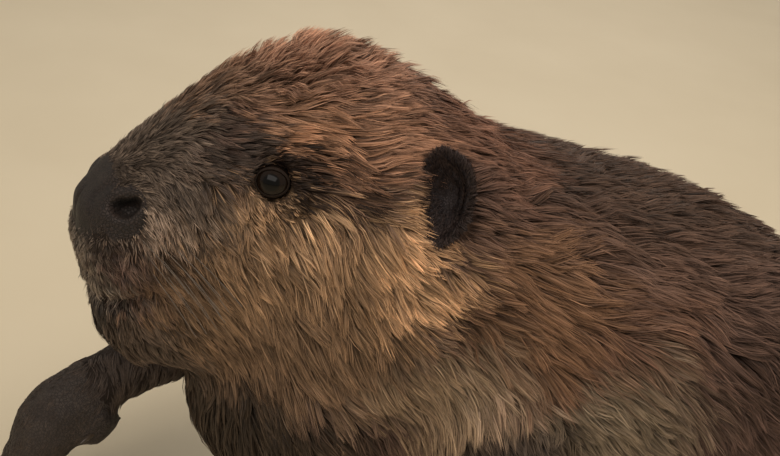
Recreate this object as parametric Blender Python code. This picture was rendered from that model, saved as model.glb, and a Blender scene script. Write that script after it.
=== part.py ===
"""A life-size model of a young adult beaver that stands on its feet and reaches out with one forefoot.

The animal faces -Y, its left side is +X and the floor is z = 0. Sizes are in millimetres and are
scaled to metres when an object is made. The outline is that of the coat's tips.

The flesh is modelled whole: a lofted head and trunk, the throat, four limbs, the toes and the tail
are fused by a voxel remesh, softened, trimmed flat at the floor and thinned. Thin cuts then part it
into named nodes. Eyes, ears and claws are solids of their own, each set in a socket.
"""

import math

import bmesh
import bpy
import numpy as np
from mathutils import Euler, Matrix, Vector

MM = 0.001
GAP = 0.3  # clearance at a flat cut between neighbouring nodes
SOCKET_GAP = 0.5  # clearance round a node that sits in a socket of its neighbour

# How the head is carried: raised, tilted and turned about the joint behind the skull, with the bend
# spread over the neck between two stations.
HEAD_PIVOT = Vector((0.0, 45.0, 175.0))
HEAD_TURN = Euler([math.radians(angle) for angle in (0.0, -5.0, -4.0)], "XYZ").to_matrix()
NECK_FRONT = 0.0
NECK_BACK = 120.0

# Stations from nose to tail: place behind the ears, half width, and the height above the floor of
# the top, of the widest level and of the underside.
STATIONS = (
    ("nose_front", -134.5, 13.0, 212.0, 202.0, 190.0),
    ("nose", -129.5, 23.0, 219.0, 201.0, 168.0),
    ("lip", -120.5, 30.0, 229.0, 196.0, 144.0),
    ("muzzle", -104.0, 37.0, 244.0, 190.0, 131.0),
    ("bridge", -84.0, 44.0, 261.0, 189.0, 126.0),
    ("eyes", -60.0, 54.0, 275.0, 190.0, 117.0),
    ("temples", -30.0, 68.0, 283.0, 184.0, 84.0),
    ("ears", 0.0, 77.0, 278.0, 178.0, 66.0),
    ("nape", 35.0, 84.0, 258.0, 168.0, 54.0),
    ("neck", 70.0, 93.0, 240.0, 154.0, 44.0),
    ("shoulders", 115.0, 103.0, 226.0, 138.0, 34.0),
    ("ribs", 170.0, 113.0, 209.0, 118.0, 27.0),
    ("belly", 230.0, 121.0, 189.0, 103.0, 22.0),
    ("hips", 290.0, 119.0, 157.0, 86.0, 19.0),
    ("rump", 340.0, 100.0, 120.0, 66.0, 16.0),
    ("tail_root", 376.0, 66.0, 82.0, 42.0, 8.0),
    ("tail_base", 404.0, 38.0, 52.0, 25.0, -2.0),
)
SQUARENESS = 0.9  # below 1 a cross-section is slightly squarer than an ellipse
RING_POINTS = 32
STEPS_PER_STATION = 4

THROAT = ((0.0, -22.0, 110.0), (68.0, 62.0, 60.0), (20.0, 0.0, 0.0))

# Planes that part the head and trunk: a point on each cut and its backward direction.
CUT_HEAD_NECK = (Vector((0.0, 18.0, 180.0)), Vector((0.0, 0.88, -0.47)).normalized())
CUT_NECK_CHEST = (Vector((0.0, 78.0, 160.0)), Vector((0.0, 0.93, -0.36)).normalized())
CUT_CHEST_BELLY = (Vector((0.0, 178.0, 120.0)), Vector((0.0, 1.0, 0.0)))
CUT_BELLY_RUMP = (Vector((0.0, 285.0, 90.0)), Vector((0.0, 1.0, 0.0)))
CUT_RUMP_TAIL = (Vector((0.0, 404.0, 30.0)), Vector((0.0, 1.0, 0.0)))

# Corners of the boxes that part the nose pad, the lower jaw and the throat, before the head is posed.
NOSE_BOX = ((-40.0, -160.0, 186.0), (40.0, -120.0, 240.0))
JAW_BOX = ((-80.0, -160.0, 100.0), (80.0, -68.0, 169.0))
THROAT_BOX = ((-110.0, -120.0, 30.0), (110.0, 12.0, 118.0))

EYE_CENTRE = Vector((41.5, -60.0, 233.5))
EYE_RADIUS = 7.5
EAR_ROOT = Vector((60.0, 6.0, 234.0))
EAR_LENGTH = 29.0
EAR_WIDTH = 38.0
EAR_WALL = 5.0
EAR_OUTWARD = Vector((0.80, 0.50, 0.25)).normalized()
EAR_UPWARD = Vector((0.0, -0.1, 1.0))

TOE_SPREAD = (-1.0, -0.52, 0.0, 0.5, 0.92)  # inner toe to outer toe, as shares of the foot's spread
FORE_CLAW = dict(length=14.5, radius=2.3, drop=2.0)
THUMB_CLAW = dict(length=8.0, radius=1.9, drop=1.0)
HIND_CLAW = dict(length=17.0, radius=3.2, drop=1.5)
CLAW_SIDES = 6
CLAW_STEPS = 4
CLAW_LIFT = 2.0  # a claw grows from above the middle of its toe

VOXEL = 2.4
SHORTEST_EDGE = 0.02
SOFTEN_STEPS = 5
FLESH_TRIANGLES = 1500

COLOURS = {
    "crown": ((0.23, 0.12, 0.065), 0.75),
    "cheek": ((0.33, 0.21, 0.12), 0.78),
    "back": ((0.17, 0.10, 0.062), 0.75),
    "limb": ((0.055, 0.042, 0.036), 0.7),
    "hide": ((0.05, 0.045, 0.045), 0.5),
    "scale": ((0.075, 0.072, 0.072), 0.45),
    "ear": ((0.03, 0.025, 0.025), 0.7),
    "eye": ((0.012, 0.009, 0.008), 0.08),
    "claw": ((0.07, 0.058, 0.048), 0.35),
}


def smooth_share(t):
    """A share from 0 to 1 that eases in and out."""
    t = min(1.0, max(0.0, t))
    return t * t * (3.0 - 2.0 * t)


def posed(point):
    """A point of the straight animal, moved to where the carried head takes it."""
    share = smooth_share((NECK_BACK - point.y) / (NECK_BACK - NECK_FRONT))
    turned = HEAD_PIVOT + HEAD_TURN @ (point - HEAD_PIVOT)
    return point.lerp(turned, share)


def spline(values, t):
    """The Catmull-Rom value at t, where whole numbers give the values themselves."""
    last = len(values) - 1
    i = min(int(t), last - 1)
    u = t - i
    a = values[max(i - 1, 0)]
    b = values[i]
    c = values[i + 1]
    d = values[min(i + 2, last)]
    return 0.5 * (
        2 * b + (c - a) * u + (2 * a - 5 * b + 4 * c - d) * u * u + (3 * b - a - 3 * c + d) * u ** 3
    )


def rounded(value):
    """Pushes a sine or cosine out towards 1, which makes a cross-section a little squarer."""
    return math.copysign(abs(value) ** SQUARENESS, value)


def station_ring(y, half, top, wide, bottom):
    """The closed ring of points of one station across the straight animal."""
    ring = []
    for k in range(RING_POINTS):
        angle = 2.0 * math.pi * k / RING_POINTS
        lift = math.cos(angle)
        height = (top - wide) if lift > 0 else (wide - bottom)
        ring.append(Vector((half * rounded(math.sin(angle)), y, wide + height * rounded(lift))))
    return ring


def loft(rings):
    """A closed mesh through rings of equal length, its two ends closed with fans."""
    mesh = bmesh.new()
    rows = [[mesh.verts.new(point) for point in ring] for ring in rings]
    count = len(rows[0])
    for near, far in zip(rows, rows[1:]):
        for k in range(count):
            mesh.faces.new((near[k], near[(k + 1) % count], far[(k + 1) % count], far[k]))
    for row in (rows[0], rows[-1]):
        centre = mesh.verts.new(sum((vert.co for vert in row), Vector()) / count)
        for k in range(count):
            mesh.faces.new((row[k], row[(k + 1) % count], centre))
    bmesh.ops.recalc_face_normals(mesh, faces=mesh.faces)
    bmesh.ops.triangulate(mesh, faces=mesh.faces)
    return mesh


def head_and_trunk():
    """The body from the nose to the base of the tail as one loft, in the carried pose."""
    columns = list(zip(*[station[1:] for station in STATIONS]))
    rings = []
    for n in range((len(STATIONS) - 1) * STEPS_PER_STATION + 1):
        values = [spline(column, n / STEPS_PER_STATION) for column in columns]
        rings.append([posed(point) for point in station_ring(*values)])
    return loft(rings)


def limb(points, widths, depths, margin=0.0, sides=12, steps=3):
    """A tapered tube along a smooth path, with a half width across the body and a half depth."""
    total = (len(points) - 1) * steps
    path = []
    for n in range(total + 1):
        path.append(Vector([spline([point[axis] for point in points], n / steps) for axis in range(3)]))
    rings = []
    for n, centre in enumerate(path):
        ahead = (path[min(n + 1, total)] - path[max(n - 1, 0)]).normalized()
        side = Vector((1.0, 0.0, 0.0))
        side = (side - ahead * side.dot(ahead)).normalized()
        up = side.cross(ahead)
        width = spline(widths, n / steps) + margin
        depth = spline(depths, n / steps) + margin
        if margin and n in (0, total):
            centre = centre + ahead * (margin if n else -margin)
        ring = []
        for k in range(sides):
            angle = 2.0 * math.pi * k / sides
            ring.append(centre + side * width * math.cos(angle) + up * depth * math.sin(angle))
        rings.append(ring)
    return loft(rings)


def ellipsoid(centre, radii, turn=(0.0, 0.0, 0.0), margin=0.0, segments=18):
    """A ball stretched to the given radii and turned by angles in degrees."""
    mesh = bmesh.new()
    matrix = (
        Matrix.Translation(centre)
        @ Euler([math.radians(angle) for angle in turn]).to_matrix().to_4x4()
        @ Matrix.Diagonal((*[radius + margin for radius in radii], 1.0))
    )
    bmesh.ops.create_uvsphere(
        mesh, u_segments=segments, v_segments=segments // 2, radius=1.0, matrix=matrix
    )
    return mesh


def mirrored(points, side):
    """Points of the left side, or the same points on the right side."""
    return [(point[0] * side, point[1], point[2]) for point in points]


class Limb:
    """One leg with its foot: the tubes it is made of, the toes, and the size of each toe's claw."""

    def __init__(self, name, side, leg, foot, toes, claws):
        self.name = name
        self.side = side
        self.leg = leg
        self.foot = foot
        self.toes = toes
        self.claws = claws


def foreleg_standing():
    """The left foreleg: it carries the chest, with its hand flat on the floor."""
    leg = dict(
        points=[(50, 50, 128), (80, 60, 82), (75, 30, 48), (65, 2, 22)],
        widths=[40, 31, 22, 18],
        depths=[44, 34, 22, 15],
    )
    foot = dict(points=[(65, 2, 20), (63, -14, 11), (62, -30, 5.5)], widths=[17, 18, 20], depths=[14, 11, 8])
    toes = []
    for share in TOE_SPREAD:
        reach = 22.0 - 9.0 * share * share
        toes.append(
            dict(
                points=[
                    (62 + 15 * share, -26, 6),
                    (62 + 21 * share, -34 - 0.5 * reach, 7),
                    (62 + 25 * share, -38 - reach, 2.5),
                ],
                widths=[5.6, 5.0, 4.2],
                depths=[6.0, 5.4, 4.4],
            )
        )
    return Limb("fore", "left", leg, foot, toes, [FORE_CLAW] * len(toes))


def foreleg_reaching():
    """The right foreleg: stretched ahead with an arched wrist and the finger tips on the floor."""
    leg = dict(
        points=[(-50, 42, 130), (-72, -6, 102), (-66, -68, 90), (-60, -108, 78)],
        widths=[40, 30, 21, 17],
        depths=[44, 32, 20, 14],
    )
    foot = dict(
        points=[(-60, -108, 77), (-59, -129, 62), (-60, -141, 44), (-61, -147, 30)],
        widths=[17, 21, 20, 17],
        depths=[15, 18, 16, 9],
    )
    thumb = dict(
        points=[(-46, -108, 65), (-42, -112, 58), (-37, -120, 58)],
        widths=[14.0, 11.0, 5.5],
        depths=[14.0, 11.0, 5.5],
    )
    toes = [thumb]
    for share in TOE_SPREAD[1:]:
        toes.append(
            dict(
                points=[
                    (-60 - 14 * share, -147, 38),
                    (-60 - 20 * share, -154, 19),
                    (-60 - 26 * share, -160 - 4 * (1 - share * share), 0.6),
                ],
                widths=[5.8, 5.2, 4.4],
                depths=[6.2, 5.6, 4.6],
            )
        )
    return Limb("fore", "right", leg, foot, toes, [THUMB_CLAW] + [FORE_CLAW] * (len(toes) - 1))


def hind_leg(side_name):
    """A hind leg: the thigh rounds out the flank, and the long webbed foot lies flat on the floor."""
    side = 1 if side_name == "left" else -1
    leg = dict(centre=(86 * side, 272, 70), radii=(46, 86, 67), turn=(8, 0, 0))
    foot = dict(
        points=mirrored([(92, 322, 27), (97, 290, 17), (104, 245, 11), (111, 205, 6)], side),
        widths=[19, 22, 27, 38],
        depths=[19, 16, 12, 6.5],
    )
    toes = []
    for share in TOE_SPREAD:
        reach = 50.0 - 16.0 * share * share + 4.0 * share
        points = [
            (108 + 26 * share, 215, 7),
            (113 + 40 * share, 205 - 0.5 * reach, 7),
            (116 + 50 * share, 198 - reach, 3.2),
        ]
        toes.append(
            dict(points=mirrored(points, side), widths=[7.5, 6.5, 5.0], depths=[7.5, 6.5, 5.0])
        )
    return Limb("hind", side_name, leg, foot, toes, [HIND_CLAW] * len(toes))


def plate(front, back):
    """A closed thin shell between two grids of points of equal size."""
    mesh = bmesh.new()
    front = [[mesh.verts.new(point) for point in row] for row in front]
    back = [[mesh.verts.new(point) for point in row] for row in back]
    last_row = len(front) - 1
    last_column = len(front[0]) - 1
    for i in range(last_row):
        for j in range(last_column):
            mesh.faces.new((front[i][j], front[i][j + 1], front[i + 1][j + 1], front[i + 1][j]))
            mesh.faces.new((back[i][j], back[i + 1][j], back[i + 1][j + 1], back[i][j + 1]))
    rim = [(0, j) for j in range(last_column)] + [(i, last_column) for i in range(last_row)]
    rim += [(last_row, j) for j in range(last_column, 0, -1)] + [(i, 0) for i in range(last_row, 0, -1)]
    for (i, j), (k, m) in zip(rim, rim[1:] + rim[:1]):
        mesh.faces.new((front[i][j], front[k][m], back[k][m], back[i][j]))
    bmesh.ops.recalc_face_normals(mesh, faces=mesh.faces)
    bmesh.ops.triangulate(mesh, faces=mesh.faces)
    return mesh


def web(toes):
    """The skin stretched between neighbouring toes of a hind foot."""
    grids = []
    for lift in (1.6, -3.6):
        grid = []
        for share in (0.0, 0.5, 0.88):
            row = []
            for toe in toes:
                x, y, z = [spline([point[axis] for point in toe["points"]], 2 * share) for axis in range(3)]
                row.append(Vector((x, y, z + lift)))
            grid.append(row)
        grids.append(grid)
    return plate(*grids)


TAIL = dict(
    points=[(0, 380, 40), (0, 420, 22), (2, 470, 9), (6, 540, 7), (12, 610, 6), (15, 640, 5)],
    widths=[34, 30, 42, 57, 46, 14],
    depths=[28, 19, 11, 9, 7.5, 5],
)


def as_object(name, mesh):
    """Turns a mesh into a linked object of the same units."""
    data = bpy.data.meshes.new(name)
    mesh.to_mesh(data)
    mesh.free()
    item = bpy.data.objects.new(name, data)
    bpy.context.scene.collection.objects.link(item)
    return item


def baked(item):
    """The object's mesh with its modifiers applied. The object itself is removed."""
    graph = bpy.context.evaluated_depsgraph_get()
    data = bpy.data.meshes.new_from_object(item.evaluated_get(graph))
    mesh = bmesh.new()
    mesh.from_mesh(data)
    bpy.data.objects.remove(item)
    return mesh


def largest_body(mesh):
    """Deletes all but the largest closed body of a mesh, then triangulates it."""
    unseen = set(mesh.verts)
    bodies = []
    while unseen:
        stack = [unseen.pop()]
        body = set(stack)
        while stack:
            for edge in stack.pop().link_edges:
                for vert in edge.verts:
                    if vert in unseen:
                        unseen.discard(vert)
                        body.add(vert)
                        stack.append(vert)
        bodies.append(body)
    bodies.sort(key=len)
    for body in bodies[:-1]:
        bmesh.ops.delete(mesh, geom=list(body), context="VERTS")
    merged = mesh.copy()
    bmesh.ops.remove_doubles(merged, verts=merged.verts, dist=SHORTEST_EDGE)
    bmesh.ops.triangulate(merged, faces=merged.faces)
    if all(edge.is_manifold for edge in merged.edges):
        return merged
    bmesh.ops.triangulate(mesh, faces=mesh.faces)
    return mesh


def combined(body, cutter, operation):
    """The Boolean of two closed meshes. Both stay as they are."""
    target = as_object("target", body.copy())
    tool = as_object("tool", cutter.copy())
    step = target.modifiers.new("Cut", "BOOLEAN")
    step.operation = operation
    step.object = tool
    step.solver = "EXACT"
    result = baked(target)
    bpy.data.objects.remove(tool)
    return largest_body(result)


def grown(mesh, distance):
    """A copy of a smooth closed mesh, moved outwards along its normals."""
    copy = mesh.copy()
    copy.normal_update()
    moved = [vert.co + vert.normal * distance for vert in copy.verts]
    for vert, place in zip(copy.verts, moved):
        vert.co = place
    return copy


def split(body, cutter):
    """What lies inside a cutter and what lies outside it, with the gap between them."""
    inside = combined(body, cutter, "INTERSECT")
    outside = combined(body, grown(cutter, SOCKET_GAP), "DIFFERENCE")
    return inside, outside


def halved(body, point, direction):
    """What lies before a plane and what lies behind it, with the gap between them."""
    halves = []
    for sign in (1.0, -1.0):
        part = body.copy()
        cut = bmesh.ops.bisect_plane(
            part,
            geom=part.verts[:] + part.edges[:] + part.faces[:],
            plane_co=point - direction * sign * 0.5 * GAP,
            plane_no=direction * sign,
            clear_outer=True,
        )
        rim = [item for item in cut["geom_cut"] if isinstance(item, bmesh.types.BMEdge)]
        bmesh.ops.holes_fill(part, edges=rim, sides=0)
        halves.append(largest_body(part))
    return halves


def fused_flesh(limbs):
    """The whole animal without ears, eyes and claws, as one smooth closed mesh on a flat floor."""
    meshes = [head_and_trunk(), ellipsoid(*THROAT), limb(**TAIL)]
    for item in limbs:
        meshes.append(limb(**item.leg) if item.name == "fore" else ellipsoid(**item.leg))
        meshes.append(limb(**item.foot))
        meshes.extend(limb(**toe) for toe in item.toes)
        if item.name == "hind":
            meshes.append(web(item.toes))
    whole = bmesh.new()
    for mesh in meshes:
        data = bpy.data.meshes.new("piece")
        mesh.to_mesh(data)
        mesh.free()
        whole.from_mesh(data)
        bpy.data.meshes.remove(data)
    body = as_object("flesh", whole)
    fuse = body.modifiers.new("Fuse", "REMESH")
    fuse.mode = "VOXEL"
    fuse.voxel_size = VOXEL
    soften = body.modifiers.new("Soften", "SMOOTH")
    soften.factor = 0.5
    soften.iterations = SOFTEN_STEPS
    body = as_object("flesh", largest_body(baked(body)))
    thin = body.modifiers.new("Thin", "DECIMATE")
    thin.ratio = FLESH_TRIANGLES / len(body.data.polygons)
    standing, _ = halved(baked(body), Vector((0.0, 0.0, -0.5 * GAP)), Vector((0.0, 0.0, -1.0)))
    return standing


def claw_mesh(toe, length, radius, drop):
    """A curved, pointed claw that grows out of a toe's end and stays above the floor."""
    end = Vector(toe["points"][-1])
    ahead = (end - Vector(toe["points"][-2])).normalized()
    level = Vector((ahead.x, ahead.y, 0.0)).normalized()
    side = level.cross(Vector((0.0, 0.0, 1.0)))
    rings = []
    for n in range(CLAW_STEPS + 1):
        t = n / CLAW_STEPS
        centre = end + level * (length * t - 3.0) + Vector((0.0, 0.0, CLAW_LIFT - drop * t * t))
        width = radius * (1.0 - 0.86 * t ** 1.6)
        height = min(width * 1.05, max(centre.z - 0.4, 0.25))
        ring = []
        for k in range(CLAW_SIDES):
            angle = 2.0 * math.pi * k / CLAW_SIDES
            ring.append(centre + side * width * math.cos(angle) + Vector((0, 0, height * math.sin(angle))))
        rings.append(ring)
    return loft(rings)


def ear_mesh(side):
    """A rounded ear: a thick shell, cupped towards the front and side, rooted in the head."""
    across = 6
    along = 6
    mirror = Vector((side, 1.0, 1.0))
    outward = EAR_OUTWARD * mirror
    lie = EAR_UPWARD - outward * EAR_UPWARD.dot(outward)
    lie.normalize()
    face = lie.cross(outward) * side
    root = EAR_ROOT * mirror
    grids = []
    for layer in (1.0, -1.0):
        grid = []
        for i in range(along + 1):
            s = i / along
            taper = 0.62 + 0.38 * min(1.0, s / 0.42)
            dome = math.sqrt(max(0.0, 1.0 - max(0.0, (s - 0.42) / 0.58) ** 2.2))
            half = EAR_WIDTH * max(0.5 * taper * dome, 0.12)
            row = []
            for j in range(across + 1):
                u = 2.0 * j / across - 1.0
                cup = -7.0 * (1.0 - u * u) * math.sin(math.pi * min(1.0, s * 0.9 + 0.1))
                thick = 0.5 * EAR_WALL * (1.0 - 0.45 * abs(u) ** 3) * (1.0 - 0.35 * s)
                place = root + outward * (EAR_LENGTH * s - 8.0) + lie * half * u
                row.append(posed(place + face * (cup + layer * thick)))
            grid.append(row)
        grids.append(grid)
    return plate(*grids)


def box(low, high):
    """A plain box between two corners, posed with the head."""
    mesh = bmesh.new()
    bmesh.ops.create_cube(mesh, size=1.0)
    for vert in mesh.verts:
        place = [low[axis] + (vert.co[axis] + 0.5) * (high[axis] - low[axis]) for axis in range(3)]
        vert.co = posed(Vector(place))
    return mesh


def foot_region(item):
    """The region round a foot, its toes included."""
    if item.name == "hind":
        side = 1 if item.side == "left" else -1
        points = [(93, 330, 24), (97, 290, 14), (105, 240, 8), (114, 190, 5), (118, 138, 5)]
        return limb(mirrored(points, side), widths=[26, 28, 36, 60, 66], depths=[24, 20, 18, 16, 16])
    if item.side == "left":
        return limb(
            points=[(65, 8, 22), (63, -20, 10), (62, -72, 6)], widths=[24, 34, 42], depths=[26, 24, 18]
        )
    return limb(
        points=[(-60, -112, 80), (-60, -134, 58), (-60, -146, 30), (-60, -160, -6)],
        widths=[24, 32, 36, 38],
        depths=[27, 32, 32, 34],
    )


def leg_region(item):
    """The region round a leg down to its foot."""
    if item.name == "hind":
        return ellipsoid(**item.leg, margin=4.0, segments=12)
    if item.side == "left":
        return limb(
            points=[(56, 58, 128), (74, 44, 72), (66, 0, 20)], widths=[42, 38, 25], depths=[44, 38, 24]
        )
    return limb(**item.leg, margin=5.0)


def parted(limbs):
    """All nodes by name, as meshes in millimetres."""
    nodes = {}
    rest = fused_flesh(limbs)
    for item in limbs:
        foot, rest = split(rest, foot_region(item))
        for number, (toe, size) in enumerate(zip(item.toes, item.claws), 1):
            claw = claw_mesh(toe, **size)
            foot = combined(foot, grown(claw, SOCKET_GAP), "DIFFERENCE")
            nodes[f"{item.name}claw_{item.side}_{number}"] = claw
        nodes[f"{item.name}foot_{item.side}"] = foot
    for item in limbs:
        leg, rest = split(rest, leg_region(item))
        nodes[f"{item.name}leg_{item.side}"] = leg
    nodes["throat"], rest = split(rest, box(*THROAT_BOX))
    head, rest = halved(rest, *CUT_HEAD_NECK)
    nodes["neck"], rest = halved(rest, *CUT_NECK_CHEST)
    nodes["chest"], rest = halved(rest, *CUT_CHEST_BELLY)
    nodes["belly"], rest = halved(rest, *CUT_BELLY_RUMP)
    nodes["rump"], nodes["tail"] = halved(rest, *CUT_RUMP_TAIL)

    for side_name, side in (("left", 1), ("right", -1)):
        centre = posed(Vector((EYE_CENTRE.x * side, EYE_CENTRE.y, EYE_CENTRE.z)))
        nodes[f"eye_{side_name}"] = ellipsoid(centre, [EYE_RADIUS] * 3, segments=12)
        socket = ellipsoid(centre, [EYE_RADIUS + GAP] * 3, segments=12)
        head = combined(head, socket, "DIFFERENCE")
        ear = ear_mesh(side)
        nodes[f"ear_{side_name}"] = ear
        head = combined(head, grown(ear, SOCKET_GAP), "DIFFERENCE")
    nodes["nose_pad"], head = split(head, box(*NOSE_BOX))
    nodes["lower_jaw"], head = split(head, box(*JAW_BOX))
    nodes["head"] = head
    return nodes


# The colour of each node, by the start of its name.
FINISHES = (
    ("head", "crown"),
    ("lower_jaw", "cheek"),
    ("nose_pad", "hide"),
    ("neck", "crown"),
    ("throat", "back"),
    ("chest", "back"),
    ("belly", "back"),
    ("rump", "back"),
    ("tail", "scale"),
    ("eye", "eye"),
    ("ear", "ear"),
    ("foreclaw", "claw"),
    ("hindclaw", "claw"),
    ("forefoot", "hide"),
    ("hindfoot", "hide"),
    ("foreleg", "limb"),
    ("hindleg", "limb"),
)


def material(name):
    """A Principled material with the node's colour and roughness."""
    colour = next(colour for start, colour in FINISHES if name.startswith(start))
    shade, roughness = COLOURS[colour]
    finish = bpy.data.materials.new(name)
    finish.use_nodes = True
    shader = finish.node_tree.nodes["Principled BSDF"]
    shader.inputs["Base Color"].default_value = (*shade, 1.0)
    shader.inputs["Roughness"].default_value = roughness
    shader.inputs["Metallic"].default_value = 0.0
    return finish


def main():
    """Builds every node, centres the animal on the floor and gives each node its material."""
    for item in list(bpy.data.objects):
        bpy.data.objects.remove(item)
    limbs = [foreleg_standing(), foreleg_reaching(), hind_leg("left"), hind_leg("right")]
    nodes = parted(limbs)
    places = np.array([vert.co for mesh in nodes.values() for vert in mesh.verts])
    middle = 0.5 * (places.min(axis=0) + places.max(axis=0))
    shift = Vector((-middle[0], -middle[1], 0.0))
    for name, mesh in nodes.items():
        bmesh.ops.translate(mesh, vec=shift, verts=mesh.verts)
        bmesh.ops.scale(mesh, vec=Vector((MM, MM, MM)), verts=mesh.verts)
        item = as_object(name, mesh)
        item.data.materials.append(material(name))
        item.data.shade_smooth()
        item.data.set_sharp_from_angle(angle=math.radians(40.0))
    bpy.context.view_layer.update()


main()
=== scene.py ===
"""A life-size museum model of a North American beaver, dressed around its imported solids.

One skin takes the place of the solids of flesh. It lies inside them by the depth of the coat,
and the coat grows from it as narrow blades of mesh that follow the lie of the fur. Eyes, lids,
ears, claws, whiskers and the scales of the tail are pieces of their own.
"""

import logging
import math
from collections.abc import Callable
from dataclasses import dataclass
from enum import Enum

import bmesh
import bpy
import numpy as np
from bpy.types import Material, Mesh, Node, NodeSocket, NodeTree, Object
from bpy.types import bpy_prop_collection as Outputs
from mathutils import Matrix, Vector, bvhtree, kdtree, noise

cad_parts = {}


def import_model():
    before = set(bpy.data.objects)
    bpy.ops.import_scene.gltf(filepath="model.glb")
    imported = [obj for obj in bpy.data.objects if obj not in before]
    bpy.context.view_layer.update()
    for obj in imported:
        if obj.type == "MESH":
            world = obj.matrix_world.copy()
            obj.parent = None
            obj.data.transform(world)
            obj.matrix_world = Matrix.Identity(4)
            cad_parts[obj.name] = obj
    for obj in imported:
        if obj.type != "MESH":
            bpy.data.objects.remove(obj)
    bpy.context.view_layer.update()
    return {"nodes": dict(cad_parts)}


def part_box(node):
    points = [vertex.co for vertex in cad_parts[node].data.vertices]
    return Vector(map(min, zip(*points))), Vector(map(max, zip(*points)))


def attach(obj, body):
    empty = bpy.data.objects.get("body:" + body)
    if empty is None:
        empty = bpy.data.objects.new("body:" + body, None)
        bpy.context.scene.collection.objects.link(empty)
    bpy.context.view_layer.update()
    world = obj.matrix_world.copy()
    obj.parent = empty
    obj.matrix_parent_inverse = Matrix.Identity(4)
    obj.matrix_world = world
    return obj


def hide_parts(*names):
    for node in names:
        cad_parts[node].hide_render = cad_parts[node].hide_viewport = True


Array = np.ndarray
Triple = tuple[float, float, float]

LOG = logging.getLogger("beaver")
MM = 0.001
BODY = "root"
SIDES = ("left", "right")
FLESH = (
    "head", "lower_jaw", "nose_pad", "throat", "neck", "chest", "belly", "rump", "tail",
    "foreleg_left", "foreleg_right", "hindleg_left", "hindleg_right",
    "forefoot_left", "forefoot_right", "hindfoot_left", "hindfoot_right",
)


# ---------------- small helpers


def linear(code: str) -> tuple[float, float, float, float]:
    """Turn an sRGB hex colour into linear light.

    Args:
        code: The colour as "#RRGGBB".

    Returns:
        Red, green, blue and full opacity, in linear light.
    """
    parts = [int(code[i:i + 2], 16) / 255 for i in (1, 3, 5)]
    toned = [p / 12.92 if p <= 0.04045 else ((p + 0.055) / 1.055) ** 2.4 for p in parts]
    return (toned[0], toned[1], toned[2], 1.0)


def rgb(code: str) -> Array:
    """Give the linear red, green and blue of an sRGB hex colour as an array."""
    return np.array(linear(code)[:3])


def add_node(tree: NodeTree, kind: str, settings: dict | None = None) -> Node:
    """Add one node with its settings and its links.

    Args:
        tree: The tree that gets the node.
        kind: The node's type name.
        settings: Properties of the node by name, and what each input gets by its name or
            number: a value, or another node's output.

    Returns:
        The new node.
    """
    node = tree.nodes.new(kind)
    given = (settings or {}).items()
    for name, value in given:
        if isinstance(name, str) and hasattr(node, name):
            setattr(node, name, value)
    for name, value in given:
        if isinstance(value, NodeSocket):
            tree.links.new(value, node.inputs[name])
        elif isinstance(name, int) or not hasattr(node, name):
            node.inputs[name].default_value = value
    return node


def step(low: float, high: float, values: Array) -> Array:
    """Rise smoothly from 0 at low to 1 at high.

    Args:
        low: Where the rise starts.
        high: Where the rise ends; it may be the smaller number.
        values: The numbers to turn into shares.

    Returns:
        The shares, from 0 to 1.
    """
    share = np.clip((values - low) / (high - low), 0.0, 1.0)
    return share * share * (3.0 - 2.0 * share)


def unit(vectors: Array) -> Array:
    """Scale each row to length 1."""
    return vectors / np.maximum(np.linalg.norm(vectors, axis=-1, keepdims=True), 1e-12)


def mirrored(places: Array) -> Array:
    """Fold places of the right side onto the left."""
    return np.stack([np.abs(places[:, 0]), places[:, 1], places[:, 2]], 1)


def new_mesh(name: str, points: Array, faces: Array) -> Mesh:
    """Make a mesh from arrays whose faces all have the same number of corners.

    Args:
        name: The mesh's name.
        points: Vertex places, N x 3, in metres.
        faces: Vertex numbers, M x corners.

    Returns:
        The new mesh, shaded smooth.
    """
    mesh = bpy.data.meshes.new(name)
    corners = faces.shape[1]
    mesh.vertices.add(len(points))
    mesh.vertices.foreach_set("co", np.ascontiguousarray(points, np.float32).ravel())
    mesh.loops.add(faces.size)
    mesh.loops.foreach_set("vertex_index", np.ascontiguousarray(faces, np.int32).ravel())
    mesh.polygons.add(len(faces))
    mesh.polygons.foreach_set("loop_start", np.arange(0, faces.size, corners, dtype=np.int32))
    mesh.update(calc_edges=True)
    mesh.shade_smooth()
    return mesh


def round_mesh(name: str, rings: list[Array], count: int) -> Mesh:
    """Close a row of rings into one mesh, with a single point at each end.

    Args:
        name: The mesh's name.
        rings: The first point, the rings and the last point.
        count: The number of points in a ring.

    Returns:
        The closed mesh, shaded smooth, with its faces outwards.
    """
    shape = bmesh.new()
    verts = [shape.verts.new(point) for point in np.concatenate(rings)]
    last = len(verts) - 1 - count
    for column in range(count):
        after = (column + 1) % count
        shape.faces.new((verts[0], verts[1 + column], verts[1 + after]))
        shape.faces.new((verts[-1], verts[last + after], verts[last + column]))
        for here in range(1, last, count):
            there = here + count
            shape.faces.new((verts[here + column], verts[there + column],
                             verts[there + after], verts[here + after]))
    bmesh.ops.recalc_face_normals(shape, faces=shape.faces)
    mesh = bpy.data.meshes.new(name)
    shape.to_mesh(mesh)
    shape.free()
    mesh.shade_smooth()
    return mesh


def new_object(name: str, mesh: Mesh) -> Object:
    """Link a new object at the origin to the scene.

    Args:
        name: The piece's name.
        mesh: Its mesh.

    Returns:
        The object.
    """
    piece = bpy.data.objects.new(name, mesh)
    bpy.context.scene.collection.objects.link(piece)
    return piece


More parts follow.
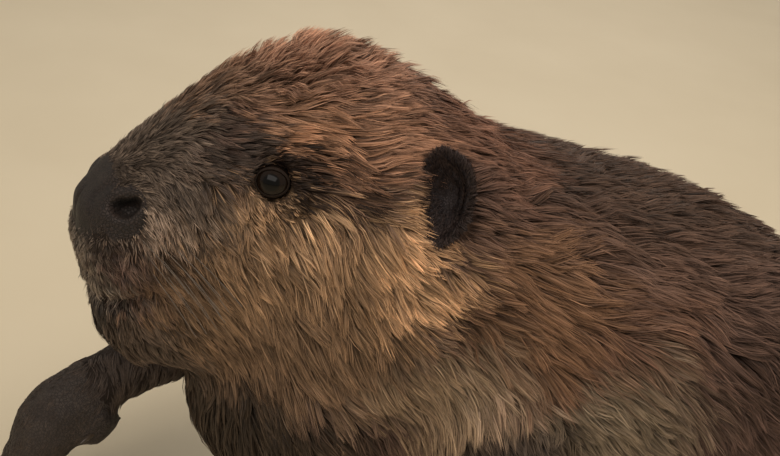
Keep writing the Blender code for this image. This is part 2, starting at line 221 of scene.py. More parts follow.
def modified(mesh: Mesh, kind: str, settings: dict) -> Mesh:
    """Run one modifier on a mesh.

    Args:
        mesh: The mesh to start from.
        kind: The modifier's type name.
        settings: Its properties by name and, for a node tree, its inputs by identifier.

    Returns:
        The result, as a plain mesh.
    """
    piece = new_object("worked_on", mesh)
    modifier = piece.modifiers.new("work", kind)
    for name, value in settings.items():
        if hasattr(modifier, name):
            setattr(modifier, name, value)
        else:
            modifier[name] = value
    graph = bpy.context.evaluated_depsgraph_get()
    made = bpy.data.meshes.new_from_object(piece.evaluated_get(graph))
    bpy.data.objects.remove(piece)
    return made


def mesh_arrays(mesh: Mesh) -> tuple[Array, Array]:
    """Read a mesh as arrays.

    Args:
        mesh: Any mesh.

    Returns:
        Its vertex places, N x 3, and its triangles, M x 3.
    """
    points = np.empty(len(mesh.vertices) * 3, np.float32)
    mesh.vertices.foreach_get("co", points)
    mesh.calc_loop_triangles()
    faces = np.empty(len(mesh.loop_triangles) * 3, np.int32)
    mesh.loop_triangles.foreach_get("vertices", faces)
    return points.reshape(-1, 3).astype(float), faces.reshape(-1, 3)


def merged_copy(nodes: dict[str, Object], name: str) -> Mesh:
    """Copy a solid's mesh with its loose triangles joined.

    Args:
        nodes: The frame's solids by name.
        name: The solid to copy.

    Returns:
        A mesh whose triangles share their vertices.
    """
    shape = bmesh.new()
    shape.from_mesh(nodes[name].data)
    bmesh.ops.remove_doubles(shape, verts=shape.verts, dist=1e-6)
    mesh = bpy.data.meshes.new(name + "_copy")
    shape.to_mesh(mesh)
    shape.free()
    return mesh


def store(mesh: Mesh, name: str, values: Array) -> None:
    """Keep a number or a colour for each vertex.

    Args:
        mesh: The mesh that gets the attribute.
        name: The attribute's name.
        values: N numbers, or N x 3 linear colours.
    """
    if values.ndim == 1:
        layer = mesh.attributes.new(name, "FLOAT", "POINT")
        layer.data.foreach_set("value", values.astype(np.float32))
        return
    layer = mesh.attributes.new(name, "FLOAT_COLOR", "POINT")
    full = np.ones((len(values), 4), np.float32)
    full[:, :3] = values
    layer.data.foreach_set("color", full.ravel())


def add_piece(name: str, mesh: Mesh,
              material: Material | None = None, replaced: tuple[str, ...] = ()) -> None:
    """Make a finished piece, with its material and its body.

    Args:
        name: The piece's name.
        mesh: Its finished mesh.
        material: Its material, where the mesh has none yet.
        replaced: The solids that the piece stands for.
    """
    piece = new_object(name, mesh)
    if material:
        mesh.materials.append(material)
    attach(piece, BODY)
    if replaced:
        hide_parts(*replaced)
    mesh.calc_loop_triangles()
    LOG.info("%s: %d triangles", name, len(mesh.loop_triangles))


# ---------------- places on the head


class HeadFrame:
    """The head's own left, back and up, with its origin midway between the eyes."""

    def __init__(self) -> None:
        """Read the eyes' places from the frame."""
        self.eyes = {}
        for side in SIDES:
            low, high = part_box("eye_" + side)
            self.eyes[side] = np.array((low + high) / 2)
            self.eye_radius = (high - low).x / 2
        self.origin = (self.eyes["left"] + self.eyes["right"]) / 2
        left = unit(self.eyes["left"] - self.eyes["right"])
        back = unit(np.cross((0.0, 0.0, 1.0), left))
        self.axes = np.stack([left, back, np.cross(left, back)])

    def local(self, points: Array) -> Array:
        """Turn places in metres into millimetres in the head's frame."""
        return (points - self.origin) @ self.axes.T / MM

    def world(self, places: Array) -> Array:
        """Turn millimetres in the head's frame into places in metres."""
        return np.asarray(places, float) * MM @ self.axes + self.origin

    def direction(self, vector: Triple) -> Array:
        """Turn a direction of the head's frame into the row's frame."""
        return unit(np.asarray(vector, float) @ self.axes)

    def from_eyes(self, points: Array) -> Array:
        """Give the distance in millimetres of places in metres from the nearer eye's centre."""
        return np.min([np.linalg.norm(points - self.eyes[side], axis=1) for side in SIDES], 0) / MM


# ---------------- markings


@dataclass(frozen=True)
class Patch:
    """A soft-edged patch of one colour, the same on both sides of the animal.

    Sizes are in millimetres. On the head they count from midway between the eyes in the
    head's own frame, and on the body from the floor under the middle of the animal.
    """

    name: str
    colour: str
    centre: Triple
    radii: Triple
    strength: float = 1.0
    soft: float = 0.6


class Markings:
    """The colours of the coat and of the skin under it, by place on the animal, with painted light
    and shade in some patches.
    """

    GROUND = "#56423A"
    SOOT = "#453A33"
    MOTTLE = 0.22
    ON_BODY = (
        Patch("red shoulders", "#5C463B", (45, -120, 205), (70, 95, 45), 0.9, 0.9),
        # Partly painted shade: the back's own darker fur, made darker still for the shade that
        # falls on it.
        Patch("dark back", "#42332A", (0, 0, 215), (62, 250, 55), 0.85, 0.8),
        Patch("pale flank", "#7D6E5C", (100, -150, 126), (38, 54, 42), 0.9, 0.9),
        Patch("red side", "#70503D", (92, -138, 176), (36, 40, 24), 0.4, 0.9),
        Patch("pale shoulder", "#8A7663", (88, -212, 146), (30, 30, 36), 0.9, 0.9),
        Patch("dark belly", "#40322A", (0, -20, 10), (130, 200, 45), 0.9, 0.6),
        Patch("dark rump", "#45352B", (0, 150, 80), (110, 70, 110), 0.7, 0.8),
        Patch("dark flank", "#3C2D25", (102, -52, 160), (30, 42, 30), 0.6, 0.9),
        # Partly painted shadow: the chest's own dark fur, darkened for the shadow under the head.
        Patch("chest", "#392E24", (20, -300, 90), (75, 60, 62), 1.0, 0.5),
    )
    ON_HEAD = (
        # Partly painted light: the crown and its red crest are the fur's own colours, made lighter
        # for the light that falls on top of the head.
        Patch("crown", "#93705C", (8, 30, 46), (44, 66, 36), 1.0, 0.8),
        Patch("red crest", "#A5765E", (10, 10, 56), (30, 34, 20), 0.7, 0.9),
        Patch("nape", "#66493B", (20, 90, 24), (46, 46, 40), 0.9),
        Patch("temple", "#8A6650", (56, 28, 20), (26, 48, 17), 0.9),
        Patch("side of the crown", "#8A6850", (34, 0, 27), (16, 18, 12), 0.8),
        Patch("side of the neck", "#745640", (78, 104, -38), (22, 36, 38), 0.85, 0.8),
        Patch("pale throat side", "#8F7961", (74, 60, -92), (20, 34, 28), 0.75, 0.9),
        Patch("cheek", "#8A6E54", (56, 6, -34), (38, 58, 36), 1.0, 0.8),
        Patch("brown of the cheek", "#594432", (68, 31, -44), (14, 17, 12), 0.85, 0.9),
        Patch("gold behind the cheek", "#BC9571", (74, 50, -26), (20, 24, 18), 0.9, 0.8),
        Patch("gold under the eye", "#C39E7B", (56, 2, -13), (14, 20, 9), 0.85, 0.9),
        Patch("jowl", "#715A46", (48, 0, -72), (42, 56, 25), 0.9),
        Patch("side of the jaw", "#6E5741", (40, -32, -56), (18, 22, 16), 0.7),
        # Painted shade: a dark band in the fold behind the cheek.
        Patch("dark fold behind the cheek", "#3A2A20", (84, 80, -52), (17, 13, 28), 0.6, 0.9),
        Patch("grey muzzle", "#5E5147", (10, -50, -2), (42, 32, 34), 1.0, 0.7),
        Patch("brown forehead", "#7E6350", (4, -26, 28), (24, 24, 13), 0.9, 0.9),
        Patch("rust over the eye", "#AD8062", (43, 8, 20), (12, 17, 9), 0.8, 0.9),
        Patch("grey brow", "#3B332E", (34, -18, 13), (16, 20, 11), 0.9, 0.9),
        Patch("dark parting", "#35251C", (38, 26, 37), (9, 12, 6), 0.7, 0.9),
        Patch("dark side of the nose", "#473C33", (38, -31, -13), (14, 21, 12), 0.7),
        # Painted shade under the nostril.
        Patch("dark under the nostril", "#2E2620", (25, -63, -25), (11, 9, 6), 0.8, 0.9),
        Patch("front of the lip", "#716559", (0, -68, -52), (32, 22, 24), 1.0),
        Patch("dark round the eye", "#2A201A", (44, -1, 3), (9, 11, 7), 1.0, 0.8),
        Patch("pale line under the streak", "#C7A17C", (55, 7, -7), (14, 24, 6.5), 0.95, 0.9),
        Patch("dark corner of the eye", "#2A1D15", (51, 8, 0), (10, 10, 5.5), 1.0, 0.8),
        Patch("streak behind the eye", "#2A1D15", (54, 18, 8), (14, 32, 7.5), 1.0),
        Patch("dark before the ear", "#35261D", (72, 56, 4), (14, 12, 20), 0.8),
        Patch("pale lip", "#A18B79", (34, -45, -20), (11, 15, 10), 0.5, 1.0),
        Patch("dark line on the lip", "#382B21", (37, -42, -34), (11, 16, 7.5), 0.75, 0.9),
        # Painted shadow: nearly black where the mouth and the shade under the muzzle are.
        Patch("lower lip", "#1E1814", (18, -60, -68), (26, 19, 12), 0.95),
        Patch("chin", "#5A4C41", (12, -44, -86), (30, 28, 22), 0.9),
    )
    WAVES = (
        ((0.9, 0.3, -0.4), 34.0, 3.4), ((-0.3, 0.8, 0.5), 21.0, 2.6), ((0.5, -0.5, 0.7), 13.0, 1.8),
        ((0.2, 0.6, -0.8), 55.0, 4.5),
    )

    def __init__(self, head: HeadFrame) -> None:
        """Keep the head's frame for the patches that lie on it."""
        self.head = head

    def wander(self, points: Array) -> Array:
        """Shift places by a few millimetres in soft waves, so that no patch has an even edge.

        Args:
            points: Places in metres, N x 3.

        Returns:
            The shifted places.
        """
        shifted = points.copy()
        for way, length, reach in self.WAVES:
            phase = points @ np.array(way) / (length * MM) * 2 * math.pi
            turns = np.stack([np.sin(phase), np.sin(phase * 1.3 + 2), np.cos(phase * 0.8 + 1)], 1)
            shifted += turns * reach * MM
        return shifted

    def sooted(self, colours: Array, sooty: Array) -> Array:
        """Darken colours towards the limbs' black-brown by a share for each.

        Args:
            colours: Linear colours, N x 3.
            sooty: The shares, from 0 to 1.

        Returns:
            The darkened colours.
        """
        return colours + (rgb(self.SOOT) - colours) * sooty[:, None]

    def colour(self, points: Array) -> Array:
        """Give the coat's colour at each place.

        Args:
            points: Places in metres, N x 3.

        Returns:
            Linear colours, N x 3.
        """
        found = np.tile(rgb(self.GROUND), (len(points), 1))
        moved = self.wander(points)
        for places, patches in ((moved / MM, self.ON_BODY), (self.head.local(moved), self.ON_HEAD)):
            folded = mirrored(places)
            for patch in patches:
                away = np.linalg.norm((folded - patch.centre) / patch.radii, axis=1)
                share = patch.strength * step(1.0 + patch.soft / 2, 1.0 - patch.soft / 2, away)
                found += (rgb(patch.colour) - found) * share[:, None]
        return found * self.mottled(moved)[:, None]

    def mottled(self, points: Array) -> Array:
        """Give the share by which each place is lighter or darker than its patch."""
        waves = [np.sin(points @ np.array(way) / (length * MM) * 2 * math.pi + number)
                 for number, (way, length, _) in enumerate(self.WAVES)]
        return 1 + self.MOTTLE * (waves[0] * waves[1] + waves[2] * waves[3])


# ---------------- the lie and depth of the coat


@dataclass(frozen=True)
class Pelt:
    """How the coat grows on one part: sizes in millimetres, blades for each square millimetre."""

    depth: float
    length: float
    width: float
    density: float
    flow: Triple
    soften: int = 30
    sooty: float = 0.0


PELTS = {
    "head": Pelt(6.0, 21.0, 0.40, 2.1, (0.0, 1.0, -0.25)),
    "lower_jaw": Pelt(4.0, 15.0, 0.40, 1.9, (0.0, 1.0, -0.5), 10),
    "nose_pad": Pelt(0.3, 15.0, 0.36, 2.0, (0.0, 1.0, 0.0), 14),
    "throat": Pelt(8.0, 30.0, 0.55, 1.1, (0.0, 0.5, -1.0)),
    "neck": Pelt(10.0, 29.0, 0.46, 1.25, (0.0, 1.0, -0.8)),
    "chest": Pelt(11.0, 30.0, 0.52, 0.95, (0.0, 1.0, -0.85)),
    "belly": Pelt(11.0, 32.0, 0.70, 0.62, (0.0, 1.0, -0.6)),
    "rump": Pelt(9.0, 32.0, 0.72, 0.62, (0.0, 1.0, -0.35)),
    "tail": Pelt(0.6, 3.0, 0.5, 0.0, (0.0, 1.0, 0.0), 6, 1.0),
    "foreleg": Pelt(3.2, 12.0, 0.45, 0.9, (0.0, 0.15, -1.0), 12, 0.9),
    "hindleg": Pelt(8.0, 28.0, 0.7, 0.65, (0.0, 0.7, -0.7), 20, 0.3),
    "forefoot": Pelt(0.7, 4.0, 0.26, 0.6, (0.0, -0.6, -0.6), 7, 1.0),
    "hindfoot": Pelt(0.6, 3.0, 0.34, 0.05, (0.0, -0.9, -0.3), 3, 1.0),
}


def pelt_of(node: str) -> Pelt:
    """Find how the coat grows on a solid."""
    return PELTS.get(node) or PELTS[node.rsplit("_", 1)[0]]


# ---------------- the skin


class Surface:
    """A triangle mesh in arrays, with what the skin's shaping and the coat need from it."""

    def __init__(self, points: Array, faces: Array) -> None:
        """Find the edges and normals of a mesh.

        Args:
            points: Vertex places, in metres.
            faces: Triangles by vertex number.
        """
        self.points = points
        self.faces = faces
        pairs = np.concatenate([faces[:, [0, 1]], faces[:, [1, 2]], faces[:, [2, 0]]])
        pairs = np.unique(np.sort(pairs, axis=1), axis=0)
        self.ends = np.concatenate([pairs[:, 0], pairs[:, 1]])
        self.others = np.concatenate([pairs[:, 1], pairs[:, 0]])
        self.count = np.maximum(np.bincount(self.ends, minlength=len(points)), 1)
        self.refresh()

    def refresh(self) -> None:
        """Work the vertex normals out again after the points have moved."""
        a, b, c = (self.points[self.faces[:, i]] for i in range(3))
        flat = np.cross(b - a, c - a)
        self.areas = np.linalg.norm(flat, axis=1) / 2
        total = np.zeros_like(self.points)
        for corner in range(3):
            for axis in range(3):
                total[:, axis] += np.bincount(
                    self.faces[:, corner], flat[:, axis], minlength=len(self.points))
        self.normals = unit(total)

    def average(self, values: Array) -> Array:
        """Give each vertex the mean of its neighbours' values.

        Args:
            values: One number or one row for each vertex.

        Returns:
            The means, in the same shape.
        """
        if values.ndim == 1:
            return np.bincount(self.ends, values[self.others], minlength=len(values)) / self.count
        return np.stack([self.average(values[:, i]) for i in range(values.shape[1])], 1)

    def spread(self, values: Array, times: int) -> Array:
        """Blend values over the surface by averaging them several times."""
        for _ in range(times):
            values = (values + self.average(values)) / 2
        return values

    def soften(self, share: Array, times: int) -> None:
        """Smooth the shape, by a share for each vertex.

        Args:
            share: How much of each step a vertex takes, from 0 to 1.
            times: The number of steps.
        """
        for _ in range(times):
            self.points += (self.average(self.points) - self.points) * share[:, None] * 0.5
        self.refresh()

    def scatter(self, weight: Array, total: int,
                draw: np.random.Generator) -> tuple[Array, Array, Array]:
        """Scatter points over the surface.

        Args:
            weight: How much of the points each triangle gets.
            total: The number of points.
            draw: The source of the random numbers.

        Returns:
            The points, the normals there, and the vertex nearest each.
        """
        chosen = draw.choice(len(weight), total, p=weight / weight.sum())
        a, b = draw.random(total), draw.random(total)
        over = a + b > 1
        a[over], b[over] = 1 - a[over], 1 - b[over]
        shares = np.stack([1 - a - b, a, b], 1)
        corners = self.faces[chosen]
        places = (self.points[corners] * shares[:, :, None]).sum(1)
        normals = unit((self.normals[corners] * shares[:, :, None]).sum(1))
        return places, normals, corners[np.arange(total), shares.argmax(1)]


class Skin:
    """The one skin of the animal, shaped from the solids of flesh."""

    VOXEL = 3.5 * MM
    FINE_STEPS = 2
    GROUND_CLEARANCE = 0.3 * MM
    CREST = (0.0, 30.0, 50.0)
    CREST_RADII = (42.0, 56.0, 26.0)
    CREST_DEPTH = 4.5
    EVEN_ROUNDS = 40
    THUMB_ROUNDS = 12

    def __init__(self, nodes: dict[str, Object], head: HeadFrame,
                 markings: Markings) -> None:
        """Keep what the skin is shaped from.

        Args:
            nodes: The frame's solids by name.
            head: The head's own frame.
            markings: The coat's colours.
        """
        self.nodes = nodes
        self.head = head
        self.markings = markings
        self.labels = np.zeros(0, int)

    def joined(self) -> tuple[Array, Array, Array]:
        """Join the solids of flesh in arrays.

        Returns:
            Points, triangles, and the number in FLESH of each triangle's solid.
        """
        points, faces, labels, offset = [], [], [], 0
        for number, name in enumerate(FLESH):
            mesh = merged_copy(self.nodes, name)
            some, tris = mesh_arrays(mesh)
            bpy.data.meshes.remove(mesh)
            points.append(some)
            faces.append(tris + offset)
            labels.append(np.full(len(tris), number))
            offset += len(some)
        return np.concatenate(points), np.concatenate(faces), np.concatenate(labels)

    def fused(self, points: Array, faces: Array) -> Mesh:
        """Remesh the joined solids as one closed surface.

        Args:
            points: The joined solids' vertices.
            faces: The joined solids' triangles.

        Returns:
            One mesh without inner walls.
        """
        joined = new_mesh("flesh_joined", points, faces)
        return modified(joined, "REMESH", {"mode": "VOXEL", "voxel_size": self.VOXEL})

    def label(self, tree: bvhtree.BVHTree, face_labels: Array,
              points: Array) -> Array:
        """Find which solid each point of the skin belongs to.

        Args:
            tree: The search tree of the joined solids.
            face_labels: The solid's number for each of their triangles.
            points: The places to look up.

        Returns:
            One number in FLESH for each point.
        """
        return np.array([face_labels[tree.find_nearest(Vector(p))[2]] for p in points])

    def field(self, name: str, times: int) -> Array:
        """Blend one number of the pelts over the skin, in the pelt's own unit."""
        table = np.array([getattr(pelt_of(node), name) for node in FLESH], float)
        return self.surface.spread(table[self.labels], times)

    def refined(self, mesh: Mesh) -> Mesh:
        """Split the faces round the nose, the mouth, the eyes and on the feet.

        Args:
            mesh: The fused skin.

        Returns:
            The same skin with finer faces there.
        """
        shape = bmesh.new()
        shape.from_mesh(mesh)
        for turn in range(self.FINE_STEPS):
            points = np.array([v.co for v in shape.verts])
            wanted = self.wants_detail(points, turn)
            shape.verts.ensure_lookup_table()
            edges = [edge for edge in shape.edges if all(wanted[v.index] for v in edge.verts)]
            bmesh.ops.subdivide_edges(shape, edges=edges, cuts=1, use_grid_fill=True)
            shape.verts.index_update()
        bmesh.ops.triangulate(shape, faces=shape.faces)
        shape.to_mesh(mesh)
        shape.free()
        return mesh

    def wants_detail(self, points: Array, turn: int) -> Array:
        """Say which points lie where the skin needs finer faces.

        Args:
            points: Places in metres.
            turn: 0 for the first split, which also takes the feet, and 1 for the second.

        Returns:
            True for each point that does.
        """
        local = self.head.local(points)
        near_nose = (local[:, 1] < -46 + 6 * (1 - turn)) & (local[:, 2] > -70)
        near_eye = self.head.from_eyes(points) < 15 - 3 * turn
        feet = np.zeros(len(points), bool)
        if turn == 0:
            for side in SIDES:
                for foot in ("forefoot_", "hindfoot_"):
                    low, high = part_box(foot + side)
                    inside = (points > np.array(low) - MM) & (points < np.array(high) + MM)
                    feet |= inside.all(1)
        return near_nose | near_eye | feet

    def build(self) -> None:
        """Shape the skin and dress it."""
        solid_points, solid_faces, face_labels = self.joined()
        tree = bvhtree.BVHTree.FromPolygons(solid_points.tolist(), solid_faces.tolist())
        mesh = self.fused(solid_points, solid_faces)
        mesh = self.refined(mesh)
        points, faces = mesh_arrays(mesh)
        self.surface = Surface(points, faces)
        self.labels = self.label(tree, face_labels, points)
        self.smooth_and_sink()
        self.sculpt()
        bpy.data.meshes.remove(mesh)
        self.finish()

    def smooth_and_sink(self) -> None:
        """Take the facets off the flesh and sink the skin by the coat's depth."""
        surface = self.surface
        rounds = self.field("soften", 4)
        start = surface.points.copy()
        for reach in (3, 8, 20, 30):
            surface.soften(step(reach - 2.0, reach + 1.0, rounds), reach)
        lost = ((start - surface.points) * surface.normals).sum(1)
        surface.points += surface.normals * surface.spread(lost, self.EVEN_ROUNDS)[:, None]
        surface.refresh()
        low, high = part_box("foreclaw_right_1")
        from_thumb = np.linalg.norm(surface.points - np.array((low + high) / 2), axis=1) / MM
        surface.soften(step(22.0, 12.0, from_thumb), self.THUMB_ROUNDS)
        depth = self.coat_depth()
        for _ in range(3):
            surface.points -= surface.normals * (depth / 3 * MM)[:, None]
            surface.soften(np.clip(depth / 6, 0, 1), 3)

    def coat_depth(self) -> Array:
        """Give the coat's depth over the skin in millimetres, for each vertex."""
        local = self.head.local(self.surface.points)
        depth = self.field("depth", 14)
        face = step(-60, 30, local[:, 1]) * 0.75 + 0.25
        on_head = local[:, 1] < 60
        depth = np.where(on_head, depth * face, depth)
        depth += self.crest(local) * self.CREST_DEPTH
        depth += (0.3 - depth) * NosePad().share(mirrored(local))
        return depth * (0.35 + 0.65 * step(9, 24, self.head.from_eyes(self.surface.points)))

    def crest(self, local: Array) -> Array:
        """Give 1 on top of the head, where the coat stands up in tousled tufts, and 0 elsewhere."""
        away = np.linalg.norm((mirrored(local) - self.CREST) / self.CREST_RADII, axis=1)
        return step(1.3, 0.5, away)

    def sculpt(self) -> None:
        """Press the nostrils, the mouth, the eyes' hollows and the toes' gaps into the skin."""
        surface = self.surface
        local = self.head.local(surface.points)
        folded = mirrored(local)
        push = Nostril().depth(folded) + Mouth().depth(folded)
        for foot in (Toes("fore", "left"), Toes("fore", "right", first=2),
                     Toes("hind", "left", 46.0, 1.2, 3.4), Toes("hind", "right", 46.0, 1.2, 3.4)):
            push += foot.gaps(surface.points)
        surface.points -= surface.normals * (push * MM)[:, None]
        for side in SIDES:
            offset = surface.points - self.head.eyes[side]
            away = np.linalg.norm(offset, axis=1)
            clear = self.head.eye_radius + 0.5 * MM
            inside = away < clear
            surface.points[inside] += (unit(offset[inside]) * (clear - away[inside])[:, None])
            ear = Ear(side, self.head)
            surface.points -= ear.axes()[2] * (ear.pocket(surface.points) * MM)[:, None]
        low = surface.points[:, 2] < self.GROUND_CLEARANCE
        surface.points[low, 2] = self.GROUND_CLEARANCE
        surface.refresh()

    def finish(self) -> None:
        """Make the skin from the shaped points and give each part of it its material."""
        surface = self.surface
        skin = new_mesh("skin", surface.points, surface.faces)
        shades = self.markings.sooted(self.markings.colour(surface.points), self.field("sooty", 10))
        store(skin, "marking", shades)
        folded = mirrored(self.head.local(surface.points))
        # Painted shade: "hollow" is 1 in the nostrils' pits and the mouth's groove and 0.8 in the
        # pockets before the ears; the bare skins' materials go nearly black there.
        hollow = np.maximum(step(1.25, 0.75, Nostril().away(folded)),
                            step(4.0, 1.0, Mouth().away(folded)))
        pockets = np.zeros(len(folded))
        for side in SIDES:
            pockets = np.maximum(pockets, Ear(side, self.head).cover(surface.points, 1.1, 0.9))
        store(skin, "hollow", np.maximum(hollow, pockets * 0.8))
        kinds = {"nose_pad": 1, "tail": 2, "forefoot": 3, "hindfoot": 3}
        table = np.array([kinds.get(n, kinds.get(n.rsplit("_", 1)[0], 0)) for n in FLESH])
        which = table[self.labels[surface.faces[:, 0]]]
        bare = NosePad().share(folded)
        which[(which == 1) | (bare[surface.faces].mean(1) > 0.5)] = 1
        which[(which == 1) & (bare[surface.faces].mean(1) < 0.5)] = 0
        which[pockets[surface.faces].mean(1) > 0.5] = 4
        skin.polygons.foreach_set("material_index", which.astype(np.int32))
        for finish in (Hide(), NOSE_LEATHER, TAIL_HIDE, FOOT_HIDE, EAR_SKIN):
            skin.materials.append(finish.material())
        add_piece("skin", skin, replaced=FLESH)


@dataclass(frozen=True)
class Toes:
    """The toes of one foot, each a line back from the base of its claw, in millimetres."""

    kind: str
    side: str
    length: float = 24.0
    groove: float = 2.4
    half_width: float = 2.2
    first: int = 1

    def lines(self) -> tuple[Array, Array]:
        """Give where the toes start at their claws and where they join the foot.

        Returns:
            The starts and the ends in metres, one row for each toe.
        """
        low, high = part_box(f"{self.kind}foot_{self.side}")
        wrist = np.array(((low.x + high.x) / 2, high.y, high.z))
        starts = []
        for number in range(self.first, 6):
            low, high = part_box(f"{self.kind}claw_{self.side}_{number}")
            starts.append(((low.x + high.x) / 2, high.y, high.z))
        starts = np.array(starts)
        return starts, starts + unit(wrist - starts) * self.length * MM

    def gaps(self, points: Array) -> Array:
        """Give how deep the gaps between neighbouring toes press in.

        Args:
            points: Places in metres, N x 3.

        Returns:
            Depths in millimetres.
        """
        away, along = [], []
        for start, end in zip(*self.lines()):
            run = end - start
            share = np.clip((points - start) @ run / (run @ run), 0, 1)
            away.append(np.linalg.norm(points - start - share[:, None] * run, axis=1) / MM)
            along.append(share)
        order = np.argsort(away, axis=0)
        first, second = (np.take_along_axis(np.array(away), order[i:i + 1], 0)[0] for i in (0, 1))
        place = np.take_along_axis(np.array(along), order[:1], 0)[0]
        between = np.exp(-((second - first) / self.half_width) ** 2)
        return self.groove * between * step(22.0, 12.0, first) * step(1.0, 0.5, place)


@dataclass(frozen=True)
class NosePad:
    """The bare leather of the nose, which reaches back round both nostrils."""

    middle: Triple = (0.0, -70.0, -18.0)
    middle_radii: Triple = (27.0, 15.0, 17.0)
    wing: Triple = (25.0, -58.0, -18.5)
    wing_radii: Triple = (9.8, 9.6, 11.6)

    def share(self, places: Array) -> Array:
        """Give 1 on the bare leather and 0 in the fur, with a soft uneven edge between.

        Args:
            places: Mirrored places in the head's frame.

        Returns:
            The shares.
        """
        front = np.linalg.norm((places - self.middle) / self.middle_radii, axis=1)
        wing = np.linalg.norm((places - self.wing) / self.wing_radii, axis=1)
        uneven = 0.07 * np.sin(places[:, 2] * 0.9) * np.sin(places[:, 0] * 0.7 + places[:, 1] * 0.8)
        return step(1.35, 0.8, np.minimum(front, wing) + uneven)


@dataclass(frozen=True)
class Nostril:
    """A comma-shaped nostril with a rolled rim, in millimetres of the head's frame."""

    centre: Triple = (25.0, -57.3, -16.8)
    radii: Triple = (5.4, 5.8, 3.4)
    pit: float = 7.0
    rim: float = 1.1
    crease: float = 0.6

    def depth(self, places: Array) -> Array:
        """Give how deep the nostril presses in at each place.

        Args:
            places: Mirrored places in the head's frame.

        Returns:
            Depths in millimetres; a rim is a negative depth.
        """
        away = self.away(places)
        above = step(-3, 3, places[:, 2] - self.centre[2])
        rolled = self.rim * (0.45 + 0.55 * above) * np.exp(-((away - 1.75) / 0.5) ** 2)
        crease = self.crease * np.exp(-((away - 2.9) / 0.35) ** 2) * (0.3 + 0.7 * above)
        return self.pit * step(1.35, 0.5, away) - rolled + crease

    def away(self, places: Array) -> Array:
        """Give the distance of each place from the nostril's middle, in its own radii."""
        tail = 3.0 * step(0, 7, places[:, 1] - self.centre[1])
        shifted = places - np.array(self.centre)
        shifted[:, 2] -= tail
        return np.linalg.norm(shifted / self.radii, axis=1)


@dataclass(frozen=True)
class Mouth:
    """The closed mouth's line from the middle of the lips to its corner."""

    line: tuple[Triple, ...] = (
        (0, -71, -63), (16, -66, -62.5), (27, -57, -59), (34, -49, -55.5), (40, -38, -53))
    groove: float = 5.0
    half_width: float = 3.8
    cleft: float = 1.2

    def away(self, places: Array) -> Array:
        """Give the distance of each place from the line."""
        nearest = np.full(len(places), 1e9)
        for start, end in zip(np.array(self.line[:-1], float), np.array(self.line[1:], float)):
            run = end - start
            share = np.clip((places - start) @ run / (run @ run), 0, 1)
            away = np.linalg.norm(places - start - share[:, None] * run, axis=1)
            nearest = np.minimum(nearest, away)
        return nearest

    def depth(self, places: Array) -> Array:
        """Give how deep the mouth and the cleft above it press in.

        Args:
            places: Mirrored places in the head's frame.

        Returns:
            Depths in millimetres.
        """
        groove = self.groove * np.exp(-(self.away(places) / self.half_width) ** 2)
        front = step(-60, -66, places[:, 1]) * step(-64, -60, places[:, 2])
        cleft = self.cleft * np.exp(-(places[:, 0] / 1.2) ** 2) * step(-14, -24, places[:, 2])
        return groove + cleft * front


# ---------------- finishes


class Paint:
    """A material that is being mixed: one Principled shader and the nodes that feed it."""

    def __init__(self, name: str, roughness: float, specular: float = 0.5,
                 coat: float = 0.0) -> None:
        """Start a material.

        Args:
            name: The real material's name.
            roughness: The shader's roughness.
            specular: Its specular level.
            coat: The weight of a clear wet or horny layer over it.
        """
        self.material = bpy.data.materials.new(name)
        self.material.use_nodes = True
        self.tree = self.material.node_tree
        self.tree.nodes.clear()
        self.shader = add_node(self.tree, "ShaderNodeBsdfPrincipled", {
            "Roughness": roughness, "Specular IOR Level": specular, "Coat Weight": coat})
        self.add("ShaderNodeOutputMaterial", {"Surface": self.shader.outputs["BSDF"]})

    def add(self, kind: str, settings: dict | None = None) -> Outputs:
        """Add a node and give its outputs."""
        return add_node(self.tree, kind, settings).outputs

    def done(self, colour: NodeSocket,
             normal: NodeSocket | None = None) -> Material:
        """Feed the shader.

        Args:
            colour: The output with the colour.
            normal: The output with the normal, where there is relief.

        Returns:
            The finished material.
        """
        self.tree.links.new(colour, self.shader.inputs["Base Color"])
        if normal is not None:
            self.tree.links.new(normal, self.shader.inputs["Normal"])
        return self.material


@dataclass(frozen=True)
class FurBlades:
    """Guard hair: dull dark roots, clear brown lengths and paler tips with a silky gloss; the
    roots' darkness is partly painted shade deep in the coat.
    """

    # The roots' share of the colour: partly the hair's own dark base and partly painted shade deep
    # among the locks.
    root: float = 0.34
    middle: float = 0.92
    tip: float = 1.6
    variety: float = 0.6
    roughness: float = 0.55

    def material(self) -> Material:
        """Make the hair's material from the coat's own attributes."""
        paint = Paint("beaver_guard_hair", self.roughness, 0.22)
        marking, along, shade = (paint.add("ShaderNodeAttribute", {"attribute_name": name})
                                 for name in ("marking", "along", "shade"))
        ramp = add_node(paint.tree, "ShaderNodeValToRGB", {"Fac": along["Fac"]})
        stops = ramp.color_ramp.elements
        # Root to tip: the dark roots are partly painted shade deep in the coat.
        stops[0].color = (self.root / 2,) * 3 + (1,)
        stops[1].color = (self.tip / 2,) * 3 + (1,)
        stops.new(0.45).color = (self.middle / 2,) * 3 + (1,)
        spread = paint.add("ShaderNodeMapRange", {
            "Value": shade["Fac"],
            "To Min": 2 * (1 - self.variety), "To Max": 2 * (1 + self.variety)})
        depth = paint.add("ShaderNodeVectorMath", {
            "operation": "SCALE", 0: ramp.outputs["Color"], "Scale": spread["Result"]})
        colour = paint.add("ShaderNodeVectorMath", {
            "operation": "MULTIPLY", 0: marking["Color"], 1: depth["Vector"]})
        return paint.done(colour["Vector"])


